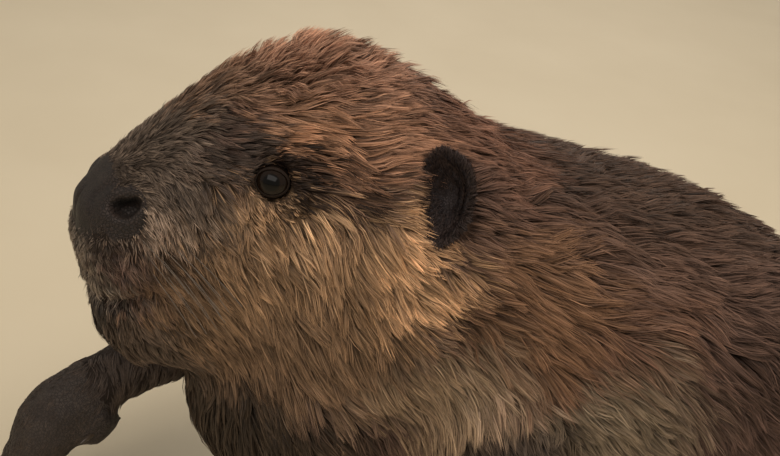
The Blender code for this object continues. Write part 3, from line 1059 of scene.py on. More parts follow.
@dataclass(frozen=True)
class Hide:
    """Skin and dense underfur: dark, soft and dull, with a fine streaky grain; its darkness is
    partly painted shade under the coat.
    """

    grain: float = 1.4
    # Painted shade in part: the hide keeps only this share of the markings' colour, for the
    # underfur's own darker tone and the coat's shade over it.
    shade: float = 0.38

    def material(self) -> Material:
        """Make the hide's material, tinted by the markings."""
        paint = Paint("beaver_underfur_on_hide", 0.9, 0.2)
        marking = paint.add("ShaderNodeAttribute", {"attribute_name": "marking"})
        place = paint.add("ShaderNodeTexCoord")["Object"]
        fine = paint.add("ShaderNodeTexNoise", {
            "Scale": 1 / (self.grain * MM), "Detail": 3.0, "Vector": place})
        spread = paint.add("ShaderNodeMapRange", {
            "Value": fine["Fac"], "To Min": self.shade * 0.6, "To Max": self.shade * 1.4})
        colour = paint.add("ShaderNodeVectorMath", {
            "operation": "SCALE", 0: marking["Color"], "Scale": spread["Result"]})
        bump = paint.add("ShaderNodeBump", {
            "Strength": 0.5, "Distance": 0.6 * MM, "Height": fine["Fac"]})
        return paint.done(colour["Vector"], bump["Normal"])


@dataclass(frozen=True)
class BareSkin:
    """Bare skin or horn with raised cells between fine furrows.

    The dark colour lies in the furrows, as painted shade, and in soft clouds; the light one is on
    the cells.
    The width of a cell and the depth of the furrows are in millimetres.
    The specular level is low under short velvet.
    """

    name: str
    dark: str
    light: str
    cell: float
    roughness: float
    depth: float
    coat: float = 0.0
    specular: float = 0.3

    def material(self) -> Material:
        """Make the skin's material, with painted shade: nearly black where the attribute "hollow"
        is 1.
        """
        paint = Paint(self.name, self.roughness, self.specular, self.coat)
        paint.shader.inputs["Coat Roughness"].default_value = 0.35
        place = paint.add("ShaderNodeTexCoord")["Object"]
        cells = paint.add("ShaderNodeTexVoronoi", {
            "feature": "DISTANCE_TO_EDGE", "Scale": 1 / (self.cell * MM), "Vector": place})
        cloud, grain = (paint.add("ShaderNodeTexNoise", {
            "Scale": 1 / (self.cell * share * MM), "Detail": detail, "Vector": place})
            for share, detail in ((6, 4.0), (0.3, 3.0)))
        # Painted shade: the colour darkens towards the furrows between the cells, where the bump
        # sinks.
        furrow = paint.add("ShaderNodeMapRange", {"Value": cells["Distance"], "From Max": 0.18})
        tone = paint.add("ShaderNodeMath", {
            "operation": "MULTIPLY", 0: furrow["Result"], 1: cloud["Fac"]})
        skin = paint.add("ShaderNodeMix", {
            "data_type": "RGBA", 0: tone["Value"], 6: linear(self.dark), 7: linear(self.light)})
        # Painted shade: nearly black in the nostrils' pits, the mouth's groove and the ear pockets,
        # as the attribute "hollow" marks them.
        hollow = paint.add("ShaderNodeAttribute", {"attribute_name": "hollow"})
        colour = paint.add("ShaderNodeMix", {
            "data_type": "RGBA", 0: hollow["Fac"], 6: skin[2], 7: linear("#050404")})
        height = paint.add("ShaderNodeMath", {
            "operation": "MULTIPLY_ADD", 0: grain["Fac"], 1: 0.25, 2: furrow["Result"]})
        bump = paint.add("ShaderNodeBump", {
            "Strength": 0.7, "Distance": self.depth * MM, "Height": height["Value"]})
        return paint.done(colour[2], bump["Normal"])


# The bare nose pad: black-grey leather in small pebbles, slightly moist.
NOSE_LEATHER = BareSkin("bare_nose_leather", "#16110F", "#3C312C", 1.4, 0.6, 0.4, 0.04)
# Bare skin of the feet: near-black, dull, in small flat scales.
FOOT_HIDE = BareSkin("bare_foot_skin", "#28211E", "#4C433D", 1.6, 0.66, 0.25)
# The tail's skin: grey-brown leather that shows between the scales.
TAIL_HIDE = BareSkin("tail_skin", "#171311", "#3A322D", 2.6, 0.6, 0.5)
# A horny scale of the tail: slate brown, paler on its raised cells, with painted shade in the
# furrows between them.
TAIL_SCALE = BareSkin("tail_scale_horn", "#241E1A", "#5B5049", 1.1, 0.45, 0.12, 0.1)
# The ear: thin black-brown skin with very short fur that lies flat.
EAR_SKIN = BareSkin("ear_skin", "#1C1617", "#453C3D", 1.0, 0.6, 0.3)
# The rims of the eyelids: bare, smooth and nearly black.
LID_SKIN = BareSkin("eyelid_skin", "#1C1511", "#2D231D", 0.9, 0.7, 0.12, 0.0, 0.12)


@dataclass(frozen=True)
class ClawHorn:
    """Claw horn: dark brown keratin, streaked lengthwise and polished by digging."""

    streak: float = 1.1

    def material(self) -> Material:
        """Make the claws' horn."""
        paint = Paint("claw_keratin", 0.32, 0.5, 0.2)
        place = paint.add("ShaderNodeTexCoord")["Object"]
        turned = paint.add("ShaderNodeMapping", {"Scale": (1.0, 0.18, 1.0), "Vector": place})
        streaks = paint.add("ShaderNodeTexNoise", {
            "Scale": 1 / (self.streak * MM), "Detail": 4.0, "Vector": turned["Vector"]})
        colour = paint.add("ShaderNodeMix", {
            "data_type": "RGBA", 0: streaks["Fac"], 6: linear("#16110E"), 7: linear("#5A4A3C")})
        bump = paint.add("ShaderNodeBump", {
            "Strength": 0.4, "Distance": 0.15 * MM, "Height": streaks["Fac"]})
        return paint.done(colour[2], bump["Normal"])


@dataclass(frozen=True)
class EyeGlobe:
    """A taxidermist's glass eye: a black-brown iris with fine spokes round a black pupil."""

    spoke: float = 0.8

    def material(self) -> Material:
        """Make the globe's material from the mesh's own angle attribute."""
        paint = Paint("painted_glass_iris", 0.12, 0.2)
        angle = paint.add("ShaderNodeAttribute", {"attribute_name": "from_pupil"})
        spokes = paint.add("ShaderNodeTexNoise", {
            "Scale": 1 / (self.spoke * MM), "Detail": 5.0,
            "Vector": paint.add("ShaderNodeTexCoord")["Object"]})
        ramp = add_node(paint.tree, "ShaderNodeValToRGB", {"Fac": angle["Fac"]})
        stops = ramp.color_ramp.elements
        stops[0].color = linear("#060504")
        stops[1].color = linear("#120D0A")
        for place, colour in ((0.28, "#070504"), (0.36, "#1A110B"), (0.62, "#160F0A"),
                              (0.74, "#100B08")):
            stops.new(place).color = linear(colour)
        shade = paint.add("ShaderNodeMapRange", {
            "Value": spokes["Fac"], "To Min": 0.6, "To Max": 1.5})
        colour = paint.add("ShaderNodeVectorMath", {
            "operation": "SCALE", 0: ramp.outputs["Color"], "Scale": shade["Result"]})
        return paint.done(colour["Vector"])


@dataclass(frozen=True)
class CloudedFinish:
    """An even finish that drifts between two near colours in soft clouds."""

    name: str
    dark: str
    light: str
    cloud: float
    detail: float
    roughness: float
    specular: float

    def material(self) -> Material:
        """Make the material; a cloud's size is in metres."""
        paint = Paint(self.name, self.roughness, self.specular)
        clouds = paint.add("ShaderNodeTexNoise", {
            "Scale": 1 / self.cloud, "Detail": self.detail,
            "Vector": paint.add("ShaderNodeTexCoord")["Object"]})
        colour = paint.add("ShaderNodeMix", {
            "data_type": "RGBA", 0: clouds["Fac"], 6: linear(self.dark), 7: linear(self.light)})
        return paint.done(colour[2])


# A whisker: stiff, smooth and grey-brown, paler here and there.
WHISKER_BRISTLE = CloudedFinish("whisker_bristle", "#2E2620", "#75675A", 6 * MM, 2.0, 0.35, 0.5)
# The floor: plain pale vinyl, dull and slightly uneven in tone.
PALE_FLOOR = CloudedFinish("pale_vinyl_floor", "#C9BCA3", "#D6CAB2", 1 / 6.0, 4.0, 0.6, 0.3)


# ---------------- the coat


class Region(Enum):
    """The parts that the coat is made in, each as one piece for each side."""

    FACE = "face"
    CROWN = "crown"
    CHEEK = "cheek"
    NECK = "neck"
    CHEST = "chest"
    BELLY = "belly"
    RUMP = "rump"
    FORELEG = "foreleg"
    HINDLEG = "hindleg"


@dataclass
class Blades:
    """The coat's blades in arrays, one row for each."""

    roots: Array
    normals: Array
    vertex: Array
    region: Array
    lines: Array | None = None
    widths: Array | None = None
    colours: Array | None = None
    shades: Array | None = None


class Coat:
    """The fur: narrow blades rooted in the skin, gathered in locks along the lie of the coat."""

    TOTAL = 358_000
    SEED = 7
    DRIFT_SEED = 4
    STEPS = 3
    LOCK_SIZE = 11
    GROUP_SIZE = 150
    STRAYS = 0.045
    STRAY_PALER = 0.28
    PARTING = 0.9
    ROOTED = 0.4 * MM
    LOCK_REACH = 8 * MM
    LOCK_HOLD = (0.0, 0.22, 0.52, 0.7)
    MANE_REACH = 20 * MM
    MANE_HOLD = (0.0, 0.08, 0.24, 0.4)
    LONG_HAIR = 18.0
    TALLEST = 16.0
    RUFF = (16.0, 98.0, 20.0)
    RUFF_RADII = (36.0, 18.0, 22.0)
    FORELOCK = (6.0, 2.0, 40.0)
    FORELOCK_RADII = (28.0, 32.0, 20.0)
    FORELOCK_DEPTH = 3.2
    MOUSTACHE = (33.0, -46.0, -22.0)
    MOUSTACHE_RADII = (13.0, 16.0, 10.0)
    MOUSTACHE_STRAYS = 0.22
    MOUSTACHE_PALER = 0.3
    HEAD_CONTRAST = 1.2
    BODY_CONTRAST = 0.68
    LIP_FUZZ = 1.2
    BEARD = (4.0, -56.0, -80.0)
    BEARD_RADII = (26.0, 14.0, 15.0)
    BEARD_DEPTH = 3.2
    BEARD_LENGTH = 19.0
    GROUND_CLEARANCE = 0.4 * MM
    PATCH = 0.003
    PROFILE = (1.0, 0.75)
    ALONG = (0.0, 1 / 3, 1 / 3, 2 / 3, 2 / 3, 1.0)
    SIDEWAYS = (0.5, 0.0, 1.0, 0.0, 1.0, 0.5)
    PATTERN = ((0, 2, 1), (1, 2, 4), (1, 4, 3), (3, 4, 5))

    def __init__(self, skin: Skin, head: HeadFrame, markings: Markings) -> None:
        """Work out the growth of the coat at each vertex of the skin.

        Args:
            skin: The finished skin.
            head: The head's own frame.
            markings: The coat's colours.
        """
        self.skin = skin
        self.surface = skin.surface
        self.head = head
        self.markings = markings
        self.random = np.random.default_rng(self.SEED)
        self.local = head.local(self.surface.points)
        self.plan()

    def plan(self) -> None:
        """Blend length, width, density, depth and lie over the skin."""
        surface, local, skin = self.surface, self.local, self.skin
        names = np.array([n.rsplit("_", 1)[0] if n[-4:] in ("left", "ight") else n for n in FLESH])
        self.part = names[skin.labels]
        self.on_head = on_head = np.isin(self.part, ("head", "lower_jaw", "nose_pad"))
        self.length = skin.field("length", 14)
        self.width = skin.field("width", 14)
        self.density = skin.field("density", 6)
        self.depth = skin.coat_depth()
        growth = 0.24 + 0.76 * step(-58, 22, local[:, 1])
        low_face = step(-16, -46, local[:, 2]) * (0.42 + 0.58 * step(-60, -20, local[:, 1]))
        growth = np.maximum(growth, low_face)
        self.length = np.where(on_head, self.length * growth, self.length)
        self.width = np.where(on_head, self.width * (0.6 + 0.4 * growth), self.width)
        self.density = np.where(on_head, self.density * (1.45 - 0.45 * growth), self.density)
        away = self.head.from_eyes(surface.points)
        self.length *= 0.26 + 0.74 * step(9, 26, away)
        self.density *= step(6.2, 7.8, away)
        bare = NosePad().share(mirrored(local))
        self.length *= 1 - 0.72 * step(0.0, 0.6, bare)
        self.density *= step(0.98, 0.5, bare)
        self.density *= step(1.5, 4.5, Mouth().away(mirrored(local)))
        for name in SIDES:
            ear = Ear(name, self.head)
            away = np.linalg.norm(surface.points - ear.centre(), axis=1) / MM
            self.length *= 0.5 + 0.5 * step(14, 32, away)
            self.density *= step(0.7, 0.3, ear.cover(surface.points, 1.08, 0.88))
        self.sooty = skin.field("sooty", 10)
        beard = self.near(self.BEARD, self.BEARD_RADII)
        self.depth = self.depth + beard * self.BEARD_DEPTH
        self.length = np.maximum(self.length, beard * self.BEARD_LENGTH)
        ruff = self.near(self.RUFF, self.RUFF_RADII)
        forelock = self.near(self.FORELOCK, self.FORELOCK_RADII)
        muzzle = step(-44, -60, local[:, 1]) * step(-22, -38, local[:, 2]) * on_head
        lips = muzzle * step(-72, -58, local[:, 2])
        self.depth = self.depth + lips * self.LIP_FUZZ + forelock * self.FORELOCK_DEPTH
        self.raised = np.maximum(skin.crest(local), 0.55 * ruff)
        self.tousle = 1.0 + 1.2 * self.raised + lips + 0.5 * forelock
        self.moustache = self.near(self.MOUSTACHE, self.MOUSTACHE_RADII)
        contrast = np.where(on_head, self.HEAD_CONTRAST, self.BODY_CONTRAST)
        self.contrast = surface.spread(contrast, 20)
        self.flow = self.lie()
        self.tree = kdtree.KDTree(len(surface.points))
        for number, point in enumerate(surface.points):
            self.tree.insert(point, number)
        self.tree.balance()

    def near(self, centre: Triple,
             radii: Triple) -> Array:
        """Give 1 near a place on the head and 0 away from it.

        Args:
            centre: The place, in millimetres of the head's frame.
            radii: The reach along the head's three axes.

        Returns:
            A share for each vertex of the skin.
        """
        away = np.linalg.norm((mirrored(self.local) - centre) / radii, axis=1)
        return step(1.3, 0.6, away)

    def lie(self) -> Array:
        """Work out the direction in which the coat lies, over the whole skin.

        Returns:
            Unit vectors along the surface.
        """
        local = self.local
        flow = np.array([PELTS[name].flow for name in self.part])
        outward = np.sign(local[:, 0]) * np.clip(np.abs(local[:, 0]) / 60, 0, 1)
        droop = step(6, -28, local[:, 2]) * step(120, 20, local[:, 1])
        swept = np.stack([outward * 0.5 * step(30, -50, local[:, 1]),
                          np.ones(len(local)), -0.12 - 1.5 * droop], 1)
        flow = np.where(self.on_head[:, None], swept @ self.head.axes, flow)
        for name in SIDES:
            offset = self.surface.points - self.head.eyes[name]
            near = step(15, 7, np.linalg.norm(offset, axis=1) / MM)
            flow = flow + unit(offset) * (near * self.PARTING)[:, None]
        hanging = self.head.direction((0.0, -0.3, -1.0))
        flow += (hanging - flow) * self.near(self.BEARD, self.BEARD_RADII)[:, None]
        flow = self.surface.spread(flow, 16)
        noise.seed_set(self.DRIFT_SEED)
        for scale, strength in ((20.0, 0.4), (55.0, 0.28)):
            drift = [noise.noise_vector(Vector(p) * scale) for p in self.surface.points]
            flow = flow + np.array(drift) * strength
        flow -= self.surface.normals * (flow * self.surface.normals).sum(1)[:, None]
        return unit(flow)

    def sow(self) -> Blades:
        """Scatter the roots over the skin by the density of the coat.

        Returns:
            The blades' roots.
        """
        surface = self.surface
        weight = surface.areas * self.density[surface.faces].mean(1)
        LOG.info("coat: %.2f blades for each square millimetre at density 1",
                 self.TOTAL / (weight.sum() / MM ** 2))
        roots, normals, vertex = surface.scatter(weight, self.TOTAL, self.random)
        return Blades(roots, normals, vertex, self.regions(vertex))

    def regions(self, vertex: Array) -> Array:
        """Say which piece of the coat each blade belongs to.

        Args:
            vertex: The skin's vertex nearest each root.

        Returns:
            The names of the pieces.
        """
        part = self.part[vertex]
        local = self.local[vertex]
        found = np.full(len(vertex), Region.NECK.value, dtype=object)
        on_head = np.isin(part, ("head", "lower_jaw", "nose_pad", "throat"))
        found[on_head] = Region.CHEEK.value
        found[on_head & (local[:, 2] > 2)] = Region.CROWN.value
        found[on_head & (local[:, 1] < -6)] = Region.FACE.value
        for name in (Region.NECK, Region.CHEST, Region.BELLY, Region.RUMP):
            found[part == name.value] = name.value
        found[part == "tail"] = Region.RUMP.value
        found[np.isin(part, ("foreleg", "forefoot"))] = Region.FORELEG.value
        found[np.isin(part, ("hindleg", "hindfoot"))] = Region.HINDLEG.value
        side = np.where(self.surface.points[vertex, 0] > 0, "_left", "_right")
        side = np.where(on_head, np.where(local[:, 0] > 0, "_left", "_right"), side)
        return np.char.add(found.astype(str), side.astype(str))

    def nearest(self, tree: kdtree.KDTree, points: Array) -> Array:
        """Look up the nearest entry of a tree for each point."""
        return np.fromiter((tree.find(p)[1] for p in points.tolist()), int, len(points))

    def gather(self, roots: Array, size: int) -> tuple[Array, Array]:
        """Choose the middle blade of each lock and who belongs to it.

        Args:
            roots: The blades' roots.
            size: How many blades make a lock.

        Returns:
            The middle blade's number for each blade, and each lock's own number.
        """
        middles = self.random.choice(len(roots), len(roots) // size, replace=False)
        tree = kdtree.KDTree(len(middles))
        for number, blade in enumerate(middles):
            tree.insert(roots[blade], number)
        tree.balance()
        lock = self.nearest(tree, roots)
        return middles[lock], lock

    def drawn(self, blades: Blades, lines: Array, middle: Array,
              hold: tuple[float, ...], reach: float, grip: Array) -> Array:
        """Draw blades towards the middle blade of their lock.

        Args:
            blades: The rooted blades.
            lines: Their lines.
            middle: The middle blade's number for each blade.
            hold: How far each point of a line is drawn in, from 0 to 1.
            reach: How far from the middle a lock still holds, in metres.
            grip: The share of the hold that each blade feels.

        Returns:
            The new lines.
        """
        away = np.linalg.norm(blades.roots - blades.roots[middle], axis=1)
        share = (step(reach, reach / 2, away) * grip)[:, None, None] * np.array(hold)[None, :, None]
        return lines + (lines[middle] - lines) * share

    def comb(self, blades: Blades) -> None:
        """Lay each blade along the surface, then draw the blades of a lock together.

        Args:
            blades: The rooted blades, which get their lines, widths, colours and shades.
        """
        draw, surface, total = self.random, self.surface, len(blades.roots)
        middle, lock = self.gather(blades.roots, self.LOCK_SIZE)
        mane, group = self.gather(blades.roots, self.GROUP_SIZE)
        locks, groups = lock.max() + 1, group.max() + 1
        tousle = self.tousle[blades.vertex]
        moustache = self.moustache[blades.vertex]
        stray = draw.random(total) < self.STRAYS * tousle + self.MOUSTACHE_STRAYS * moustache
        turn = (draw.normal(0, 0.16, locks)[lock] + draw.normal(0, 0.12, groups)[group]
                + draw.normal(0, 0.10, total)) * tousle
        length = (draw.uniform(0.7, 1.2, locks)[lock] * draw.uniform(0.62, 1.15, total)
                  * np.where(stray, 1.3, 1.0) * self.length[blades.vertex] * MM)
        depth = (draw.uniform(0.5, 1.2, locks)[lock] * draw.uniform(0.7, 1.1, total)
                 * np.where(stray, 1.6, 1.0) * self.depth[blades.vertex] * tousle ** 0.3 * MM)
        depth = np.minimum(depth, self.TALLEST * MM)
        raised = self.raised[blades.vertex] * draw.uniform(0.2, 1.0, locks)[lock]
        leaning = 1 - 0.45 * raised
        depth *= 1 + 0.1 * raised
        grip = np.clip(self.length[blades.vertex] / self.LONG_HAIR, 0.25, 1.0)
        lines = np.empty((total, self.STEPS + 1, 3))
        lines[:, 0] = blades.roots - blades.normals * self.ROOTED
        place, vertex = blades.roots, blades.vertex
        for number in range(1, self.STEPS + 1):
            share = number / self.STEPS
            normal, flow = surface.normals[vertex], self.flow[vertex]
            sideways = np.cross(normal, flow)
            heading = flow * np.cos(turn)[:, None] + sideways * np.sin(turn)[:, None]
            place = place + heading * (length * leaning / self.STEPS)[:, None]
            vertex = self.nearest(self.tree, place)
            normal = surface.normals[vertex]
            height = ((place - surface.points[vertex]) * normal).sum(1)
            rise = depth * (1 - (1 - share) ** 1.5)
            place = place + normal * (rise - height)[:, None]
            lines[:, number] = place
        lines = self.drawn(blades, lines, middle, self.LOCK_HOLD, self.LOCK_REACH, grip)
        blades.lines = self.drawn(blades, lines, mane, self.MANE_HOLD, self.MANE_REACH, grip)
        blades.widths = self.width[blades.vertex] * draw.uniform(0.65, 1.35, total) * MM
        mixed = (blades.roots + draw.normal(0, 2.0 * MM, blades.roots.shape)
                 + draw.normal(0, 2.8 * MM, (locks, 3))[lock])
        clean = self.markings.colour(mixed)
        blades.colours = self.markings.sooted(clean, self.sooty[blades.vertex])
        shade = (draw.normal(0, 0.14, locks)[lock] + draw.normal(0, 0.09, groups)[group]
                 + draw.normal(0, 0.14, total))
        paler = self.STRAY_PALER + self.MOUSTACHE_PALER * moustache
        shade = shade * self.contrast[blades.vertex] + stray * paler
        blades.shades = np.clip(0.5 + shade, 0, 1)

    def mesh(self, name: str, blades: Blades, chosen: Array) -> Mesh:
        """Turn some of the blades into one mesh.

        Args:
            name: The piece's name.
            blades: All the blades.
            chosen: The numbers of those in this piece.

        Returns:
            The mesh, with its colours and its OFBake map.
        """
        lines = blades.lines[chosen]
        count, points = len(chosen), len(self.ALONG)
        heading = unit(np.gradient(lines, axis=1))
        side = unit(np.cross(heading, blades.normals[chosen][:, None, :]))
        lift = np.cross(side, heading)
        roll = self.random.normal(0, 0.5, count)[:, None, None]
        side = side * np.cos(roll) + lift * np.sin(roll)
        half = blades.widths[chosen][:, None, None] / 2 * np.array(self.PROFILE)[None, :, None]
        verts = np.empty((count, points, 3))
        verts[:, 0] = lines[:, 0]
        verts[:, 1:4:2] = lines[:, 1:3] - side[:, 1:3] * half
        verts[:, 2:5:2] = lines[:, 1:3] + side[:, 1:3] * half
        verts[:, 5] = lines[:, 3]
        verts[:, :, 2] = np.maximum(verts[:, :, 2], self.GROUND_CLEARANCE)
        faces = np.array(self.PATTERN)[None] + (np.arange(count) * points)[:, None, None]
        mesh = new_mesh(name, verts.reshape(-1, 3), faces.reshape(-1, 3))
        store(mesh, "along", np.tile(self.ALONG, count))
        store(mesh, "shade", np.repeat(blades.shades[chosen], points))
        store(mesh, "marking", np.repeat(blades.colours[chosen], points, axis=0))
        self.unwrap(mesh, blades.roots[chosen], faces.reshape(-1))
        return mesh

    def unwrap(self, mesh: Mesh, roots: Array, corners: Array) -> None:
        """Give each blade a small patch of the map at its root's place on the unrolled skin.

        Args:
            mesh: The coat piece.
            roots: The blades' roots.
            corners: The vertex number of each face corner.
        """
        span = roots.max(0) - roots.min(0)
        axis = 2 if span[2] > span[1] else 1
        other = 3 - axis
        centre = (roots.max(0) + roots.min(0)) / 2
        if axis == 1:
            centre[0] = 0.0
        across = np.arctan2(roots[:, 0] - centre[0], roots[:, other] - centre[other])
        across = (across - across.min()) / max(np.ptp(across), 1e-6)
        down = (roots[:, axis] - roots[:, axis].min()) / max(span[axis], 1e-6)
        room = 1 - self.PATCH
        u = (across * room)[:, None] + np.array(self.SIDEWAYS)[None] * self.PATCH
        v = (down * room)[:, None] + np.array(self.ALONG)[None] * self.PATCH
        layer = mesh.uv_layers.new(name="OFBake")
        both = np.stack([u.ravel(), v.ravel()], 1)[corners]
        layer.data.foreach_set("uv", both.astype(np.float32).ravel())

    def build(self) -> None:
        """Grow the coat and dress it piece by piece."""
        blades = self.sow()
        self.comb(blades)
        material = FurBlades().material()
        for region in sorted(set(blades.region)):
            chosen = np.flatnonzero(blades.region == region)
            name = "coat_" + region
            add_piece(name, self.mesh(name, blades, chosen), material)


# ---------------- eyes and lids


@dataclass
class Eye:
    """One eye: a globe with a raised cornea, and the lids that close round it.

    The lids' section has pairs of a turn from the edge of the opening, in degrees, and a
    height over the globe in millimetres, from inside the edge to under the skin.
    """

    side: str
    head: HeadFrame
    rings: int = 40
    spokes: int = 64
    cornea_angle: float = math.radians(40)
    cornea_rise: float = 0.5 * MM
    wide: float = math.radians(54)
    high: float = math.radians(43)
    brow_weight: float = 0.25
    lid_section: tuple[tuple[float, float], ...] = (
        (6, -0.15), (1.5, 0.05), (0, 0.2), (2, 0.35), (6, 0.42), (11, 0.3), (18, -0.2),
        (28, -1.0), (42, -2.6))

    def axes(self) -> Array:
        """Give the eye's forward, the level axis across it and its up, as rows."""
        mirror = 1 if self.side == "left" else -1
        ahead = self.head.direction((0.86 * mirror, -0.42, 0.28))
        across = unit(np.cross((0, 0, 1.0), ahead))
        return np.stack([ahead, across, np.cross(ahead, across)])

    def point(self, angle: Array, spin: Array, radius: Array) -> Array:
        """Place points round the globe.

        Args:
            angle: The angle from straight ahead.
            spin: The angle round that axis.
            radius: The distance from the globe's centre.

        Returns:
            The places in metres.
        """
        ahead, across, up = self.axes()
        flat = np.cos(spin)[..., None] * across + np.sin(spin)[..., None] * up
        way = np.cos(angle)[..., None] * ahead + np.sin(angle)[..., None] * flat
        return self.head.eyes[self.side] + way * np.asarray(radius)[..., None]

    def globe(self) -> None:
        """Make the globe."""
        angle = np.linspace(0, math.pi, self.rings + 1)[1:-1]
        spin = np.linspace(0, 2 * math.pi, self.spokes, endpoint=False)
        grid_a, grid_s = np.meshgrid(angle, spin, indexing="ij")
        rise = self.cornea_rise * np.clip(1 - (grid_a / self.cornea_angle) ** 2, 0, 1) ** 2
        radius = self.head.eye_radius - self.cornea_rise * 0.2 + rise
        body = self.point(grid_a, grid_s, radius).reshape(-1, 3)
        poles = self.point(np.array([0, math.pi]), np.zeros(2), self.head.eye_radius
                           + self.cornea_rise * np.array([0.8, -0.2]))
        mesh = round_mesh("eyeball_" + self.side, [poles[:1], body, poles[1:]], self.spokes)
        turned = np.concatenate([[0], grid_a.ravel(), [math.pi]]) / (math.pi / 2)
        store(mesh, "from_pupil", np.clip(turned, 0, 1))
        add_piece(mesh.name, mesh, EyeGlobe().material(), ("eye_" + self.side,))

    def lids(self) -> None:
        """Make the two lids as one almond-shaped ring."""
        spin = np.linspace(0, 2 * math.pi, self.spokes, endpoint=False)
        opening = 1 / np.sqrt((np.cos(spin) / self.wide) ** 2 + (np.sin(spin) / self.high) ** 2)
        opening = opening + math.radians(5) * np.abs(np.cos(spin)) ** 6
        heavy = 1 + self.brow_weight * np.sin(spin)
        rows = []
        for turn, out in self.lid_section:
            radius = self.head.eye_radius + out * MM * heavy
            rows.append(self.point(opening + math.radians(turn), spin, radius))
        here = np.arange(self.spokes) + np.arange(len(rows) - 1)[:, None] * self.spokes
        after = np.roll(here, -1, axis=1)
        faces = np.stack([here + self.spokes, after + self.spokes, after, here], 2)
        mesh = new_mesh("eyelids_" + self.side, np.concatenate(rows), faces.reshape(-1, 4))
        add_piece(mesh.name, mesh, LID_SKIN.material())


# ---------------- ears and claws


@dataclass
class Ear:
    """One ear: a small thick-rimmed cup that opens forward and outward, in millimetres."""

    side: str
    head: HeadFrame
    half_height: float = 18.5
    half_width: float = 11.2
    hollow: float = 7.0
    wall: float = 2.6
    rings: int = 14
    spokes: int = 48
    facing: Triple = (0.62, -0.76, 0.18)
    upward: Triple = (-0.04, -0.16, 1.0)
    out_of_node: Triple = (0.0, -2.0, 1.5)

    def axes(self) -> Array:
        """Give the ear's outward, upward and facing directions, as rows."""
        mirror = np.array((1 if self.side == "left" else -1, 1, 1))
        facing = self.head.direction(tuple(mirror * self.facing))
        upward = self.head.direction(tuple(mirror * self.upward))
        outward = unit(np.cross(upward, facing)) * mirror[0]
        upward = unit(np.cross(facing, outward)) * mirror[0]
        return np.stack([outward, upward, facing])

    def centre(self) -> Array:
        """Give the middle of the cup's mouth, in metres."""
        low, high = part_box("ear_" + self.side)
        return np.array((low + high) / 2) + np.array(self.out_of_node) * MM @ self.axes()

    def placed(self, points: Array) -> tuple[Array, Array]:
        """Say where points of the head lie from the cup.

        Args:
            points: Places in metres, N x 3.

        Returns:
            The distance from the cup's axis in its own radii, and the height over its mouth.
        """
        spots = (points - self.centre()) @ self.axes().T / MM
        away = np.hypot(spots[:, 0] / self.half_width, spots[:, 1] / self.half_height)
        return away, spots[:, 2]

    def cover(self, points: Array, outer: float = 1.25, inner: float = 0.95) -> Array:
        """Say how far points of the head lie before the cup or in it.

        Args:
            points: Places in metres, N x 3.
            outer: Where the cover ends, in the cup's radii.
            inner: Where it is full.

        Returns:
            Shares, from 0 away from the cup to 1 under it.
        """
        away, height = self.placed(points)
        return step(outer, inner, away) * step(22.0, 16.0, height) * step(-17.0, -13.0, height)

    def pocket(self, points: Array) -> Array:
        """Give how far the skin before the cup sinks, so that the cup's mouth stays open.

        Args:
            points: Places in metres, N x 3.

        Returns:
            Depths in millimetres.
        """
        _, height = self.placed(points)
        sink = np.clip(height + self.hollow + self.wall + 1.0, 0, None)
        return sink * self.cover(points)

    def outline(self, spin: Array) -> tuple[Array, Array]:
        """Give the rim's places across and up, for each angle round it.

        Args:
            spin: Angles from the outer edge.

        Returns:
            Places outward and upward in millimetres.
        """
        wave = 1 + 0.03 * np.sin(3 * spin + 0.6) - 0.02 * np.cos(5 * spin)
        narrow = 1 - 0.16 * np.clip(-np.sin(spin), 0, 1)
        across = self.half_width * np.cos(spin) * wave * narrow
        return across, self.half_height * np.sin(spin) * wave

    def rows(self) -> list[tuple[float, float]]:
        """Give the cup's section, from the middle of its hollow over the rim to its back.

        Returns:
            Pairs of a share of the outline and a height over the mouth in millimetres.
        """
        inner = np.linspace(0.08, 1.0, self.rings)
        section = []
        for share in inner:
            fold = 1.1 * math.exp(-((share - 0.62) / 0.12) ** 2)
            reach = share * (1 - self.wall / self.half_width * 0.5)
            section.append((reach, fold - self.hollow * (1 - share ** 2.2)))
        section.append((1.0, self.wall * 0.35))
        section.append((1.05, -self.wall * 0.25))
        for share in inner[::-1]:
            section.append((0.03 + share * 1.01, -self.hollow * (1 - share ** 2.2) - self.wall))
        return section

    def build(self) -> Mesh:
        """Make the cup with its rolled rim.

        Returns:
            The finished piece's mesh.
        """
        axes, centre, rows = self.axes(), self.centre(), self.rows()
        spin = np.linspace(0, 2 * math.pi, self.spokes, endpoint=False)
        across, along = self.outline(spin)
        rings = [np.array([centre + axes[2] * rows[0][1] * MM])]
        for reach, depth in rows:
            flat = axes[0] * (across * reach)[:, None] + axes[1] * (along * reach)[:, None]
            rings.append(centre + (flat + axes[2] * depth) * MM)
        rings.append(np.array([centre + axes[2] * rows[-1][1] * MM]))
        mesh = round_mesh("pinna_" + self.side, rings, self.spokes)
        add_piece(mesh.name, mesh, EAR_SKIN.material(), ("ear_" + self.side,))
        return mesh


